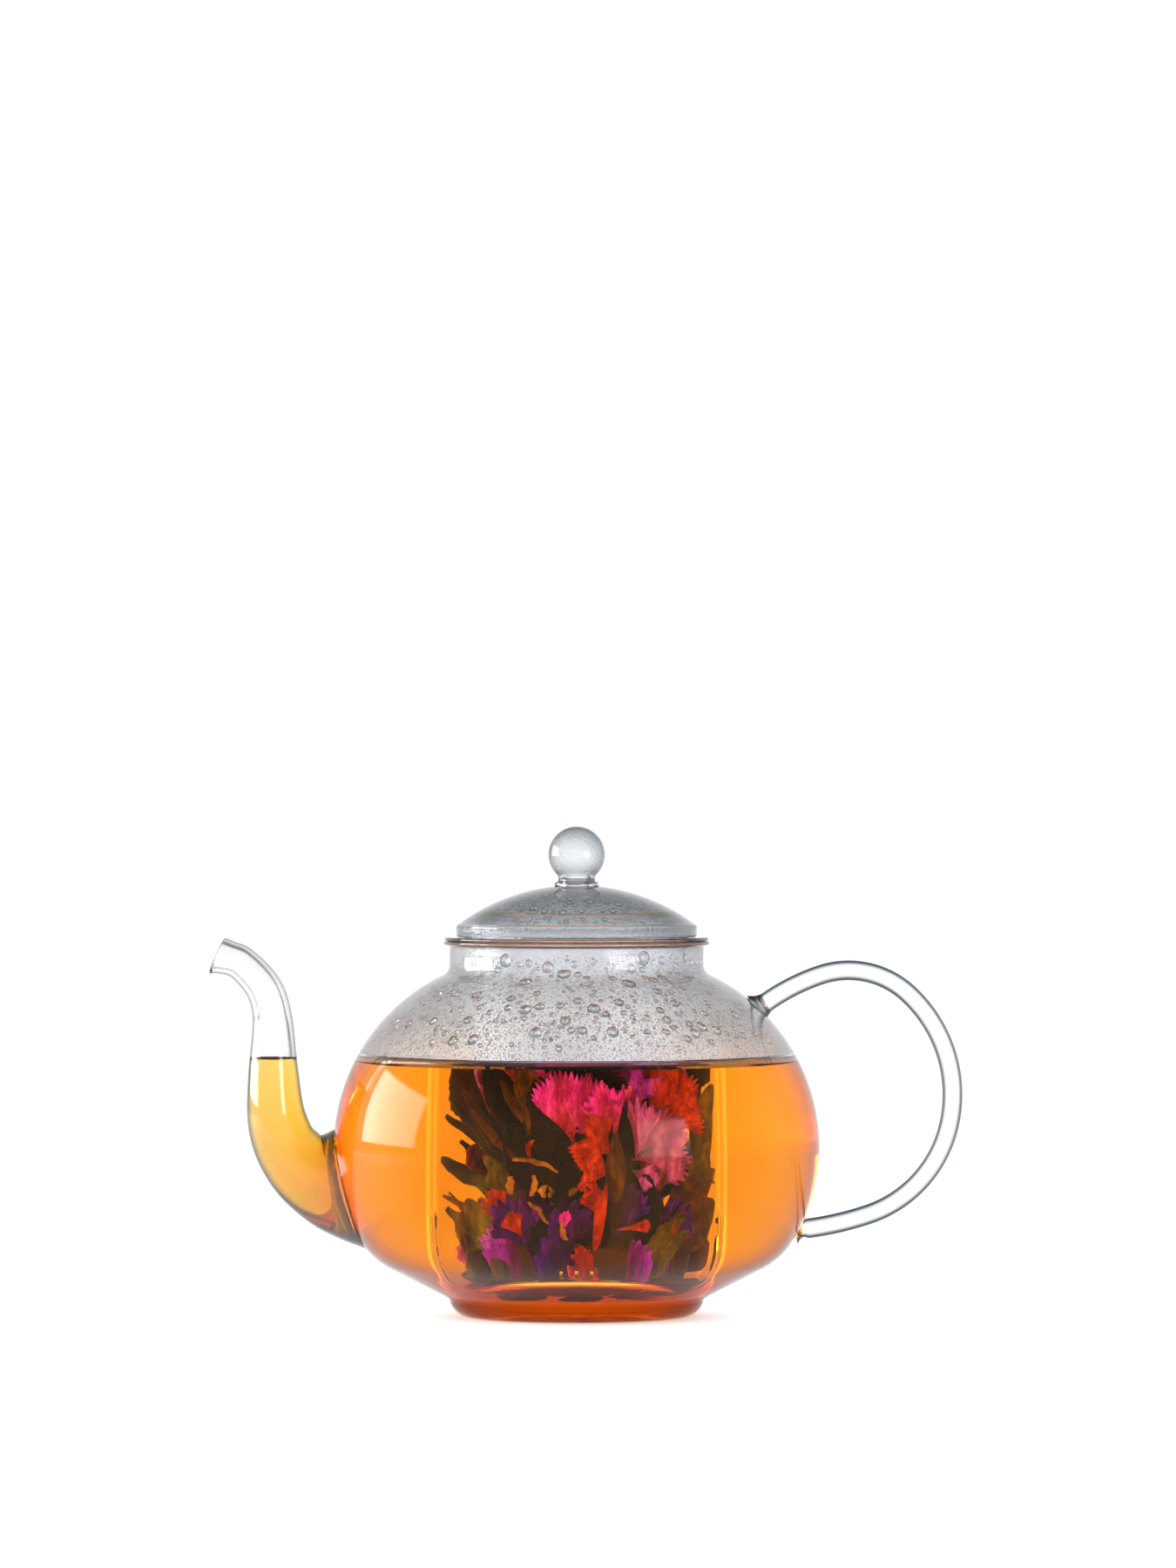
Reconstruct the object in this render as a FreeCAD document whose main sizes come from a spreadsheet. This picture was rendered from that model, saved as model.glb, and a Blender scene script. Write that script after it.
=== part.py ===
import FreeCAD, Part
import math
import os
import re
import Sketcher

# A blown-glass teapot of about 0.9 litre: a welded pot (body, spout, handle), a lift-out
# infuser that hangs in its neck, and a lid with a hollow ball knob that stands on the infuser.
# Millimetres, +Z up. The origin is the centre of the foot, on the table; the spout points to -X
# and the handle to +X.

SIZES = {
    # pot body: outline corners as radius, height and the wall's slope in degrees
    "wall": 2.0,
    "floor_thickness": 3.2,
    "foot_radius": 33.4,
    "heel_radius": 38.2,
    "heel_height": 5.4,
    "heel_slope": 27.0,
    "heel_bend": 6.6,
    "hip_radius": 56.1,
    "hip_height": 14.5,
    "hip_slope": 28.0,
    "hip_bend": 22.1,
    "flank_radius": 64.2,
    "flank_height": 21.9,
    "flank_slope": 56.8,
    "flank_bend": 51.2,
    "belly_radius": 72.6,
    "belly_height": 50.0,
    "shoulder_bend": 57.3,
    "shoulder_radius": 39.83,
    "shoulder_height": 101.79,
    "shoulder_slope": 154.66,
    "neck_bend": 3.2,
    "neck_radius": 38.0,
    "neck_height": 104.68,
    "rim_radius": 39.9,
    "rim_bottom": 110.7,
    "rim_top": 111.8,
    "edge_round": 0.6,
    # spout, and the pour holes in the body wall behind it
    "spout_wall": 1.6,
    "pour_hole_radius": 1.8,
    "pour_hole_pitch": 6.5,
    "pour_hole_height": 38.0,
    # handle: a chain of tangent arcs, from the upper weld round to the lower one
    "rod_radius": 3.0,
    "handle_start_radius": 57.2,
    "handle_start_height": 93.9,
    "handle_start_slope": 34.6,
    "rise_bend": 62.5,
    "rise_sweep": 16.1,
    "crown_bend": 26.2,
    "crown_sweep": 61.0,
    "back_bend": 41.0,
    "back_sweep": 60.4,
    "heel_turn_bend": 36.7,
    "heel_turn_sweep": 58.7,
    "return_bend": 97.7,
    "return_sweep": 10.7,
    "upper_weld_radius": 4.4,
    "lower_weld_neck": 2.45,
    "lower_weld_radius": 3.9,
    "weld_length": 7.0,
    # infuser
    "seat_gap": 0.1,
    "infuser_radius": 33.9,
    "infuser_wall": 1.6,
    "flange_radius": 39.5,
    "flange_top": 113.0,
    "infuser_bottom": 21.5,
    "infuser_corner": 7.0,
    "infuser_ring_radius": 25.5,
    "infuser_kick": 6.0,
    "slit_width": 0.9,
    "slit_pitch": 4.0,
    "slit_bottom": 23.5,
    "slit_top": 36.5,
    "slit_depth_start": 27.5,
    # lid
    "lid_radius": 36.0,
    "lid_band_height": 3.2,
    "lid_band_width": 3.0,
    "lid_edge": 0.6,
    "dome_bend": 59.2,
    "dome_crown": 128.7,
    "dome_wall": 1.8,
    "collar_radius": 29.6,
    "collar_wall": 1.6,
    "collar_bottom": 97.5,
    # knob
    "stem_radius": 5.6,
    "stem_wall": 1.8,
    "knob_radius": 8.45,
    "knob_height": 137.6,
    "weld_ring_radius": 6.3,
    "weld_ring_top": 129.6,
}

# Spout stations in order along the tube: centre, outside diameter and heading of the tube in
# degrees from +X. The flared collar runs from root to seam, and the tube from seam to lip. The
# first and last stations only carry the bore past the glass.
SPOUT_STATIONS = {
    "inside": (-60.5, 35.8, 38.4, 196.0),
    "root": (-66.0, 37.3, 36.4, 196.0),
    "seam": (-71.3, 38.1, 33.4, 191.0),
    "throat": (-78.2, 41.0, 26.6, 173.0),
    "elbow": (-85.4, 48.1, 21.0, 142.0),
    "calf": (-89.5, 58.4, 17.9, 108.0),
    "waist": (-90.5, 72.0, 15.2, 93.0),
    "rise": (-90.8, 88.7, 12.0, 96.0),
    "bow": (-93.4, 97.8, 11.1, 119.0),
    "beak": (-99.8, 105.0, 10.4, 145.0),
    "lip": (-107.1, 107.4, 11.6, 156.0),
    "past": (-110.8, 109.1, 12.2, 156.0),
}

# The turned solids' seams, in degrees from +X, lie clear of the handle, the spout and the slits.
POT_SEAM = 90
INFUSER_SEAM = 45

doc = FreeCAD.newDocument("Teapot")


def fill_sheet():
    """Write the driving dimensions to the sheet, one aliased cell each."""
    cells = dict(SIZES)
    for name, (along, height, across, heading) in SPOUT_STATIONS.items():
        cells[f"spout_{name}_along"] = along
        cells[f"spout_{name}_height"] = height
        cells[f"spout_{name}_across"] = across
        cells[f"spout_{name}_heading"] = heading
    sheet = doc.addObject("Spreadsheet::Sheet", "Sizes")
    for row, (alias, value) in enumerate(cells.items(), start=1):
        sheet.set(f"A{row}", alias.replace("_", " "))
        sheet.set(f"B{row}", str(value))
        sheet.setAlias(f"B{row}", alias)
    doc.recompute()
    return sheet


sheet = fill_sheet()


def size(alias):
    """A driving dimension's number, for the shapes that are worked out in this script."""
    return float(sheet.get(alias))


def bound(text):
    """Turn 'belly_radius - wall' into an expression on the sheet's cells."""
    return re.sub(r"[a-z_]+", lambda word: f"Sizes.{word[0]}" if word[0] in SIZES else word[0], text)


def part_body(label):
    body = doc.addObject("PartDesign::Body", label)
    body.Label = label
    return body


def origin_plane(body, role):
    return next(item for item in body.Origin.OriginFeatures if item.Role == role)


def arc_between(start, end, radius, turn):
    """The arc from start to end with this radius; turn is +1 to the left and -1 to the right."""
    chord = end - start
    middle = (start + end) * 0.5
    reach = math.sqrt(max(radius**2 - (chord.Length / 2) ** 2, 0.0))
    side = FreeCAD.Vector(-chord.y, chord.x, 0).normalize() * (reach * turn)
    centre = middle + side
    first = math.atan2(start.y - centre.y, start.x - centre.x)
    last = math.atan2(end.y - centre.y, end.x - centre.x)
    circle = Part.Circle(centre, FreeCAD.Vector(0, 0, 1), radius)
    if turn > 0:
        return Part.ArcOfCircle(circle, first, last)
    return Part.ArcOfCircle(circle, last, first)


def outline(body, name, corners, seam=0):
    """A closed sketch through corners (radius, height, bend, turn), in the XZ plane turned by
    seam degrees about the vertical axis.

    bend is the radius of the arc to the next corner, or None for a straight side; turn is +1
    where that arc turns left and -1 where it turns right. All are expressions on the sheet.
    """
    sketch = body.newObject("Sketcher::SketchObject", name)
    sketch.AttachmentSupport = [(origin_plane(body, "XZ_Plane"), "")]
    sketch.MapMode = "FlatFace"
    upright = FreeCAD.Vector(0, 1, 0)
    sketch.AttachmentOffset = FreeCAD.Placement(FreeCAD.Vector(), upright, seam)
    places = []
    for radius, height, _, _ in corners:
        x = sketch.evalExpression(bound(radius))
        z = sketch.evalExpression(bound(height))
        places.append(FreeCAD.Vector(float(x), float(z), 0))
    ends = []
    for number, (_, _, bend, turn) in enumerate(corners):
        start = places[number]
        end = places[(number + 1) % len(corners)]
        if bend is None:
            side = sketch.addGeometry(Part.LineSegment(start, end), False)
            ends.append((side, 1, 2))
            continue
        radius = float(sketch.evalExpression(bound(bend)))
        side = sketch.addGeometry(arc_between(start, end, radius, turn), False)
        ends.append((side, 1, 2) if turn > 0 else (side, 2, 1))
        added = sketch.addConstraint(Sketcher.Constraint("Radius", side, radius))
        sketch.setExpression(f"Constraints[{added}]", bound(bend))
    for number, (radius, height, _, _) in enumerate(corners):
        side, first, _ = ends[number]
        before, _, last = ends[number - 1]
        sketch.addConstraint(Sketcher.Constraint("Coincident", before, last, side, first))
        place = places[number]
        for kind, value, text, axis in (
            ("DistanceX", place.x, radius, -2),
            ("DistanceY", place.y, height, -1),
        ):
            if text == "0":
                sketch.addConstraint(Sketcher.Constraint("PointOnObject", side, first, axis))
                continue
            added = sketch.addConstraint(Sketcher.Constraint(kind, -1, 1, side, first, value))
            sketch.setExpression(f"Constraints[{added}]", bound(text))
    return sketch


def turned(body, name, corners, kind="PartDesign::Revolution", seam=0):
    """Turn an outline about the vertical axis, to add material or, as a Groove, to cut it."""
    sketch = outline(body, name + "_outline", corners, seam)
    feature = body.newObject(kind, name)
    feature.Profile = sketch
    feature.ReferenceAxis = (sketch, ["V_Axis"])
    feature.Angle = 360
    doc.recompute()
    return feature


def wall_corner(place, offset):
    """A corner of the pot's outline, moved inwards along the wall's normal by offset."""
    slope = {"belly": "90", "neck": "90"}.get(place, f"{place}_slope")
    across = f"{place}_radius - {offset} * sin({slope})"
    up = f"{place}_height + {offset} * cos({slope})"
    return across, up


def pot_sides(offset):
    """The body wall's corners from the hip to the neck, offset inwards from the outer face."""
    bends = {
        "hip": (f"hip_bend - {offset}", 1),
        "flank": (f"flank_bend - {offset}", 1),
        "belly": (f"shoulder_bend - {offset}", 1),
        "shoulder": (f"neck_bend + {offset}", -1),
        "neck": (None, 0),
    }
    return [wall_corner(place, offset) + bends[place] for place in bends]


def pot_blank(label):
    """The pot's outer form as one solid of revolution, without its hollow."""
    body = part_body(label)
    corners = [
        ("0", "0", None, 0),
        ("foot_radius", "0", "heel_bend", 1),
        ("heel_radius", "heel_height", None, 0),
    ]
    corners += pot_sides("0")
    corners += [
        ("neck_radius", "rim_bottom - 0.8", None, 0),
        ("rim_radius - 0.4", "rim_bottom", "edge_round", 1),
        ("rim_radius - 0.4", "rim_top", None, 0),
        ("0", "rim_top", None, 0),
    ]
    turned(body, label + "_form", corners, seam=POT_SEAM)
    return body


def hollow_corners():
    """The pot's inside, from the floor up through the neck and past the rim."""
    corners = [
        ("0", "floor_thickness", None, 0),
        ("foot_radius - 6", "floor_thickness", None, 0),
        wall_corner("heel", "wall") + (None, 0),
    ]
    corners += pot_sides("wall")
    corners += [
        ("neck_radius - wall", "rim_top - 0.6", None, 0),
        ("neck_radius - wall + 0.6", "rim_top", None, 0),
        ("neck_radius - wall + 0.6", "rim_top + 1", None, 0),
        ("0", "rim_top + 1", None, 0),
    ]
    return corners


def station_circle(name, station, inset):
    """A circle across the spout at one station, inset from the outside by the wall."""
    circle = doc.addObject("Part::Circle", f"{name}_{station}")
    stem = f"Sizes.spout_{station}"
    circle.setExpression("Radius", f"{stem}_across / 2 - {inset}")
    circle.setExpression("Placement.Base.x", f"{stem}_along")
    circle.setExpression("Placement.Base.z", f"{stem}_height")
    circle.setExpression("Placement.Rotation.Angle", f"90 - {stem}_heading")
    circle.Placement.Rotation.Axis = FreeCAD.Vector(0, 1, 0)
    return circle


def station_loft(name, stations, inset):
    loft = doc.addObject("Part::Loft", name)
    loft.Sections = [station_circle(name, station, inset) for station in stations]
    loft.Solid = True
    loft.Ruled = len(stations) == 2
    doc.recompute()
    return loft


def cut(label, base, tools):
    """Cut the tools from base, one after the other; the last cut carries the label."""
    for number, tool in enumerate(tools):
        last = number == len(tools) - 1
        result = doc.addObject("Part::Cut", label if last else f"{label}_cut_{number}")
        result.Base = base
        result.Tool = tool
        base = result
    base.Label = label
    doc.recompute()
    return base


def pour_holes():
    """One hole behind the middle of the spout's root, and six around it."""
    drills = []
    for number in range(7):
        drill = doc.addObject("Part::Cylinder", f"pour_hole_{number + 1}")
        drill.setExpression("Radius", bound("pour_hole_radius"))
        drill.Height = 25
        turn = number * 60
        reach = f"pour_hole_pitch * {1 if number else 0}"
        drill.setExpression("Placement.Base.x", bound("-belly_radius - 5"))
        drill.setExpression("Placement.Base.y", bound(f"{reach} * cos({turn})"))
        drill.setExpression("Placement.Base.z", bound(f"pour_hole_height + {reach} * sin({turn})"))
        drill.Placement.Rotation = FreeCAD.Rotation(FreeCAD.Vector(0, 1, 0), 90)
        drills.append(drill)
    group = doc.addObject("Part::MultiFuse", "pour_holes")
    group.Shapes = drills
    return group


def make_pot_body():
    body = pot_blank("pot_shell")
    turned(body, "pot_hollow", hollow_corners(), "PartDesign::Groove", POT_SEAM)
    return cut("pot_body", body, [pour_holes()])


def make_spout(blank):
    """The drawn-out collar and the tube that is welded to it at the seam station."""
    names = list(SPOUT_STATIONS)
    bore = station_loft("spout_bore", names, "Sizes.spout_wall")
    collar_form = station_loft("collar_form", names[1:3], "0")
    collar = cut("spout_collar", collar_form, [bore, blank])
    tube_form = station_loft("tube_form", names[2:-1], "0")
    tube = cut("spout_tube", tube_form, [bore])
    return [collar, tube]


def handle_path():
    """The handle's centre line: tangent arcs that turn right, and its two end directions."""
    here = FreeCAD.Vector(size("handle_start_radius"), 0, size("handle_start_height"))
    slope = size("handle_start_slope")
    start = (here, slope)
    edges = []
    for stretch in ("rise", "crown", "back", "heel_turn", "return"):
        bend, sweep = size(f"{stretch}_bend"), size(f"{stretch}_sweep")
        points = []
        for share in (0.0, 0.5, 1.0):
            angle = math.radians(slope - share * sweep)
            first = math.radians(slope)
            along = bend * (math.sin(first) - math.sin(angle))
            up = bend * (math.cos(angle) - math.cos(first))
            points.append(here + FreeCAD.Vector(along, 0, up))
        edges.append(Part.Arc(*points).toShape())
        here = points[-1]
        slope -= sweep
    path = doc.addObject("Part::Feature", "handle_path")
    path.Shape = Part.Wire(edges)
    return path, start, (here, slope)


def make_handle(blank):
    """A solid rod bent to an ear shape, and the two welds that hold it to the body."""
    path, (top, top_slope), (low, low_slope) = handle_path()
    section = doc.addObject("Part::Circle", "handle_section")
    section.setExpression("Radius", "Sizes.rod_radius")
    section.Placement = FreeCAD.Placement(
        top, FreeCAD.Rotation(FreeCAD.Vector(0, 1, 0), 90 - top_slope)
    )
    rod = doc.addObject("Part::Sweep", "handle_rod")
    rod.Label = "handle_rod"
    rod.Sections = [section]
    rod.Spine = (path, [f"Edge{number + 1}" for number in range(len(path.Shape.Edges))])
    rod.Solid = True
    doc.recompute()
    welds = []
    for label, place, slope, near, far in (
        ("handle_upper_weld", top, top_slope + 180, "rod_radius", "upper_weld_radius"),
        ("handle_lower_weld", low, low_slope, "lower_weld_neck", "lower_weld_radius"),
    ):
        cone = doc.addObject("Part::Cone", label + "_form")
        cone.setExpression("Radius1", bound(near))
        cone.setExpression("Radius2", bound(far))
        cone.setExpression("Height", bound("weld_length"))
        cone.Placement = FreeCAD.Placement(
            place, FreeCAD.Rotation(FreeCAD.Vector(0, 1, 0), 90 - slope)
        )
        welds.append(cut(label, cone, [blank]))
    return [rod] + welds


def slit_sketch(body):
    """One group of three upright slits with round tops, seen along X."""
    sketch = body.newObject("Sketcher::SketchObject", "slit_outline")
    sketch.AttachmentSupport = [(origin_plane(body, "YZ_Plane"), "")]
    sketch.MapMode = "FlatFace"
    sketch.setExpression("AttachmentOffset.Base.z", bound("slit_depth_start"))
    half = size("slit_width") / 2
    low, high = size("slit_bottom"), size("slit_top") - half
    for number in (-1, 0, 1):
        middle = number * size("slit_pitch")
        left_low = FreeCAD.Vector(middle - half, low, 0)
        left_high = FreeCAD.Vector(middle - half, high, 0)
        right_high = FreeCAD.Vector(middle + half, high, 0)
        right_low = FreeCAD.Vector(middle + half, low, 0)
        crown = Part.Circle(FreeCAD.Vector(middle, high, 0), FreeCAD.Vector(0, 0, 1), half)
        sides = [
            Part.LineSegment(left_low, left_high),
            Part.ArcOfCircle(crown, 0, math.pi),
            Part.LineSegment(right_high, right_low),
            Part.LineSegment(right_low, left_low),
        ]
        first = sketch.addGeometry(sides, False)[0]
        left, top, right, bottom = first, first + 1, first + 2, first + 3
        for constraint in (
            Sketcher.Constraint("Tangent", left, 2, top, 2),
            Sketcher.Constraint("Tangent", top, 1, right, 1),
            Sketcher.Constraint("Coincident", right, 2, bottom, 1),
            Sketcher.Constraint("Coincident", bottom, 2, left, 1),
            Sketcher.Constraint("Vertical", left),
            Sketcher.Constraint("Horizontal", bottom),
        ):
            sketch.addConstraint(constraint)
        for constraint, text in (
            (Sketcher.Constraint("Radius", top, half), "slit_width / 2"),
            (Sketcher.Constraint("DistanceY", -1, 1, left, 1, low), "slit_bottom"),
            (Sketcher.Constraint("DistanceY", -1, 1, left, 2, high), "slit_top - slit_width / 2"),
        ):
            added = sketch.addConstraint(constraint)
            sketch.setExpression(f"Constraints[{added}]", bound(text))
        if number == 0:
            sketch.addConstraint(Sketcher.Constraint("PointOnObject", top, 3, -2))
            continue
        along = (-1, 1, top, 3) if number > 0 else (top, 3, -1, 1)
        added = sketch.addConstraint(
            Sketcher.Constraint("DistanceX", *along, size("slit_pitch"))
        )
        sketch.setExpression(f"Constraints[{added}]", bound("slit_pitch"))
    return sketch


def make_infuser():
    """A tube with a flange that hangs on the pot's rim, a kicked-up floor and slits."""
    body = part_body("infuser")
    inner = "infuser_radius - infuser_wall"
    floor = "infuser_bottom + infuser_wall"
    under = "rim_top + seat_gap"
    kick_bend = "(infuser_ring_radius^2 + infuser_kick^2) / (2 * infuser_kick)"
    corners = [
        ("0", "infuser_bottom + infuser_kick", kick_bend, -1),
        ("infuser_ring_radius", "infuser_bottom", None, 0),
        ("infuser_radius - infuser_corner", "infuser_bottom", "infuser_corner", 1),
        ("infuser_radius", "infuser_bottom + infuser_corner", None, 0),
        ("infuser_radius", f"{under} - 0.6", "0.6", -1),
        ("infuser_radius + 0.6", under, None, 0),
        ("flange_radius - 0.4", under, "edge_round", 1),
        ("flange_radius - 0.4", "flange_top", None, 0),
        (f"{inner} + 0.8", "flange_top", "0.8", 1),
        (inner, "flange_top - 0.8", None, 0),
        (inner, "infuser_bottom + infuser_corner", "infuser_corner - infuser_wall", -1),
        ("infuser_radius - infuser_corner", floor, None, 0),
        ("infuser_ring_radius", floor, kick_bend, 1),
        ("0", f"{floor} + infuser_kick", None, 0),
    ]
    turned(body, "infuser_form", corners, seam=INFUSER_SEAM)
    pocket = body.newObject("PartDesign::Pocket", "slits")
    pocket.Profile = slit_sketch(body)
    pocket.Type = "ThroughAll"
    pocket.Reversed = True
    pattern = body.newObject("PartDesign::PolarPattern", "slit_groups")
    pattern.Originals = [pocket]
    pattern.Axis = (origin_plane(body, "Z_Axis"), [""])
    pattern.Angle = 360
    pattern.Occurrences = 4
    body.Tip = pattern
    doc.recompute()
    return body


def on_dome(radius, inset="0"):
    """Height of the dome at this radius, inset from its outer face."""
    return f"dome_crown - dome_bend + sqrt((dome_bend - {inset})^2 - ({radius})^2)"


def make_lid():
    """The domed lid with its rolled edge, the locating collar under it and the hollow knob."""
    bottom = "flange_top + seat_gap"
    bore = "stem_radius - stem_wall"
    inner_edge = "lid_radius - lid_band_width"
    dome = part_body("lid_dome")
    turned(dome, "lid_dome_form", [
        (bore, on_dome(bore, "dome_wall"), "dome_bend - dome_wall", -1),
        ("lid_radius - 2.6", on_dome("lid_radius - 2.6", "dome_wall"), None, 0),
        (inner_edge, f"{bottom} + lid_edge", None, 0),
        (f"{inner_edge} + lid_edge", bottom, None, 0),
        ("lid_radius - lid_edge", bottom, "lid_edge", 1),
        ("lid_radius", f"{bottom} + lid_edge", None, 0),
        ("lid_radius", f"{bottom} + lid_band_height - lid_edge", None, 0),
        ("lid_radius - 0.5", on_dome("lid_radius - 0.5"), "dome_bend", 1),
        (bore, on_dome(bore), None, 0),
    ])
    collar = part_body("lid_collar")
    collar_inner = "collar_radius - collar_wall"
    turned(collar, "lid_collar_form", [
        (collar_inner, "collar_bottom + 0.4", None, 0),
        (f"{collar_inner} + 0.4", "collar_bottom", None, 0),
        ("collar_radius - 0.4", "collar_bottom", None, 0),
        ("collar_radius", "collar_bottom + 0.4", None, 0),
        ("collar_radius", on_dome("collar_radius", "dome_wall"), "dome_bend - dome_wall", 1),
        (collar_inner, on_dome(collar_inner, "dome_wall"), None, 0),
    ])
    knob = part_body("knob")
    inner_ball = "(knob_radius - stem_wall)"
    neck = "knob_height - sqrt(knob_radius^2 - stem_radius^2)"
    throat = f"knob_height - sqrt({inner_ball}^2 - ({bore})^2)"
    turned(knob, "knob_form", [
        (bore, on_dome(bore), "dome_bend", -1),
        ("stem_radius", on_dome("stem_radius"), None, 0),
        ("stem_radius", neck, "knob_radius", 1),
        ("knob_radius", "knob_height", "knob_radius", 1),
        ("0", "knob_height + knob_radius", None, 0),
        ("0", f"knob_height + {inner_ball}", inner_ball, -1),
        (inner_ball, "knob_height", inner_ball, -1),
        (bore, throat, None, 0),
    ])
    ring = part_body("knob_weld")
    turned(ring, "knob_weld_form", [
        ("stem_radius", on_dome("stem_radius"), "dome_bend", -1),
        ("weld_ring_radius", on_dome("weld_ring_radius"), None, 0),
        ("weld_ring_radius", "weld_ring_top - 0.5", "0.6", 1),
        ("stem_radius", "weld_ring_top", None, 0),
    ])
    return [dome, collar, knob, ring]


def check_and_export(parts):
    """Stop on any failed feature or bad solid; otherwise write each sub-part to its file."""
    doc.recompute()
    for item in doc.Objects:
        if "Invalid" in item.State or "Error" in item.State:
            raise RuntimeError(f"{item.Label} failed: {item.State}")
    for part in parts:
        shape = part.Shape
        if shape.isNull() or not shape.isValid() or len(shape.Solids) != 1:
            raise RuntimeError(f"{part.Label} is not one valid solid")
    os.makedirs("parts", exist_ok=True)
    for part in parts:
        part.Shape.exportStep(f"parts/{part.Label}.step")
        print(f"{part.Label:20s} {part.Shape.Volume / 1000:9.3f} cm3")


blank = pot_blank("pot_blank")
check_and_export(
    [make_pot_body()] + make_spout(blank) + make_handle(blank) + [make_infuser()] + make_lid()
)
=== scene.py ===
"""The looks of the glass teapot: clear blown glass, amber tea, an opened tea flower and mist."""
import math
import random
import bpy
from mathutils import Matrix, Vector, noise


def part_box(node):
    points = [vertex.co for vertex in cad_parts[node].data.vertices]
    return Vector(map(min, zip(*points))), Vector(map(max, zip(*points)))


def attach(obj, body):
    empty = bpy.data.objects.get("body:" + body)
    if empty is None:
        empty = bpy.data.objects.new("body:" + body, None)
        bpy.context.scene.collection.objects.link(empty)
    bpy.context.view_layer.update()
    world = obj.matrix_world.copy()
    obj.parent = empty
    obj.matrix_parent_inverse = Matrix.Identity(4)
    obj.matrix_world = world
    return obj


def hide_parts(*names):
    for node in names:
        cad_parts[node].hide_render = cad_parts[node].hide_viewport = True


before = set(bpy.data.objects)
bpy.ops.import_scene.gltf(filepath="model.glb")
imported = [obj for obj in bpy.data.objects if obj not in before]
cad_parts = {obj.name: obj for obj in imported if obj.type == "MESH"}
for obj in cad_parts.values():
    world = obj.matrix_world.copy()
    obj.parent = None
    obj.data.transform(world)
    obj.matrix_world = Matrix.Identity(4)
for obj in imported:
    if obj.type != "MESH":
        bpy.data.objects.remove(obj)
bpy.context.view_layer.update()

MM = 0.001
TAU = 2 * math.pi

# ---------------------------------------------------------------- driving sizes, in millimetres

WALL = 2.0
BELLY_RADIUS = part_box("pot_body")[1].y / MM
BELLY_HEIGHT = 50.0
RIM_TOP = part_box("pot_body")[1].z / MM
FLANGE_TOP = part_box("infuser")[1].z / MM
LID_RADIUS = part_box("lid_dome")[1].x / MM
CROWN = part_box("lid_dome")[1].z / MM
KNOB_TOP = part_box("knob")[1].z / MM
TEA_LEVEL = 76.0
INFUSER_RADIUS = 33.9
INFUSER_WALL = 1.6
INFUSER_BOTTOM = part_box("infuser")[0].z / MM
INFUSER_CORNER = 7.0
INFUSER_RING = 25.5
INFUSER_KICK = 6.0
INFUSER_BORE = 31.4
SLIT_WIDTH, SLIT_PITCH, SLIT_BOTTOM, SLIT_TOP = 0.9, 4.0, 23.5, 36.5


# ---------------------------------------------------------------- mesh helpers

def arc(start, end, bend, turn, step=1.4):
    """Points from start to end, without the end, on an arc of radius bend; turn +1 goes left."""
    start, end = Vector(start), Vector(end)
    if not bend:
        count = max(1, round((end - start).length / 3.0))
        return [start.lerp(end, i / count) for i in range(count)]
    chord = end - start
    reach = math.sqrt(max(bend * bend - chord.length_squared / 4, 0.0))
    centre = (start + end) / 2 + Vector((-chord.y, chord.x)).normalized() * reach * turn
    spoke = start - centre
    sweep = 2 * math.asin(min(1.0, chord.length / 2 / bend))
    count = max(3, math.ceil(bend * sweep / step), math.ceil(sweep / 0.22))
    points = []
    for i in range(count):
        angle = turn * sweep * i / count
        cos, sin = math.cos(angle), math.sin(angle)
        points.append(centre + Vector((spoke.x * cos - spoke.y * sin, spoke.x * sin + spoke.y * cos)))
    return points


def outline(corners):
    """Sampled points through corners (radius, height, bend, turn); the last corner ends it."""
    points = []
    for here, there in zip(corners, corners[1:]):
        points += arc(here[:2], there[:2], here[2], here[3])
    return points + [Vector(corners[-1][:2])]


def mesh_piece(name, verts, faces, materials, body, indices=None):
    """A smooth mesh object, in metres, that rides on a body."""
    mesh = bpy.data.meshes.new(name)
    mesh.from_pydata([Vector(v) * MM for v in verts], [], faces)
    for material in materials:
        mesh.materials.append(material)
    if indices:
        mesh.polygons.foreach_set("material_index", indices)
    mesh.polygons.foreach_set("use_smooth", [True] * len(mesh.polygons))
    mesh.update()
    piece = bpy.data.objects.new(name, mesh)
    bpy.context.scene.collection.objects.link(piece)
    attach(piece, body)
    return piece


def lathe(points, segments):
    """Rings of an outline turned about Z. Points on the axis become one vertex each."""
    verts, faces, rings = [], [], []
    for point in points:
        if point.x < 1e-6:
            rings.append([len(verts)] * segments)
            verts.append((0, 0, point.y))
            continue
        rings.append(list(range(len(verts), len(verts) + segments)))
        for i in range(segments):
            angle = TAU * i / segments
            verts.append((point.x * math.cos(angle), point.x * math.sin(angle), point.y))
    for low, high in zip(rings, rings[1:]):
        for i in range(segments):
            j = (i + 1) % segments
            corners = [low[i], low[j], high[j], high[i]]
            face = [c for n, c in enumerate(corners) if c != corners[n - 1]]
            if len(face) > 2:
                faces.append(face)
    return verts, faces


def lathed_piece(name, corners, segments, materials, body, pick=None):
    """A closed outline turned about Z; pick gives a face's material index from its middle."""
    verts, faces = lathe(outline(corners), segments)
    indices = None
    if pick:
        indices = []
        for face in faces:
            middle = sum((Vector(verts[c]) for c in face), Vector()) / len(face)
            indices.append(pick(middle))
    return mesh_piece(name, verts, faces, materials, body, indices)


# ---------------------------------------------------------------- materials

def new_material(name):
    material = bpy.data.materials.new(name)
    material.use_nodes = True
    nodes, links = material.node_tree.nodes, material.node_tree.links
    return material, nodes, links, nodes["Principled BSDF"]


def set_inputs(node, values):
    for name, value in values.items():
        node.inputs[name].default_value = value


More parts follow.
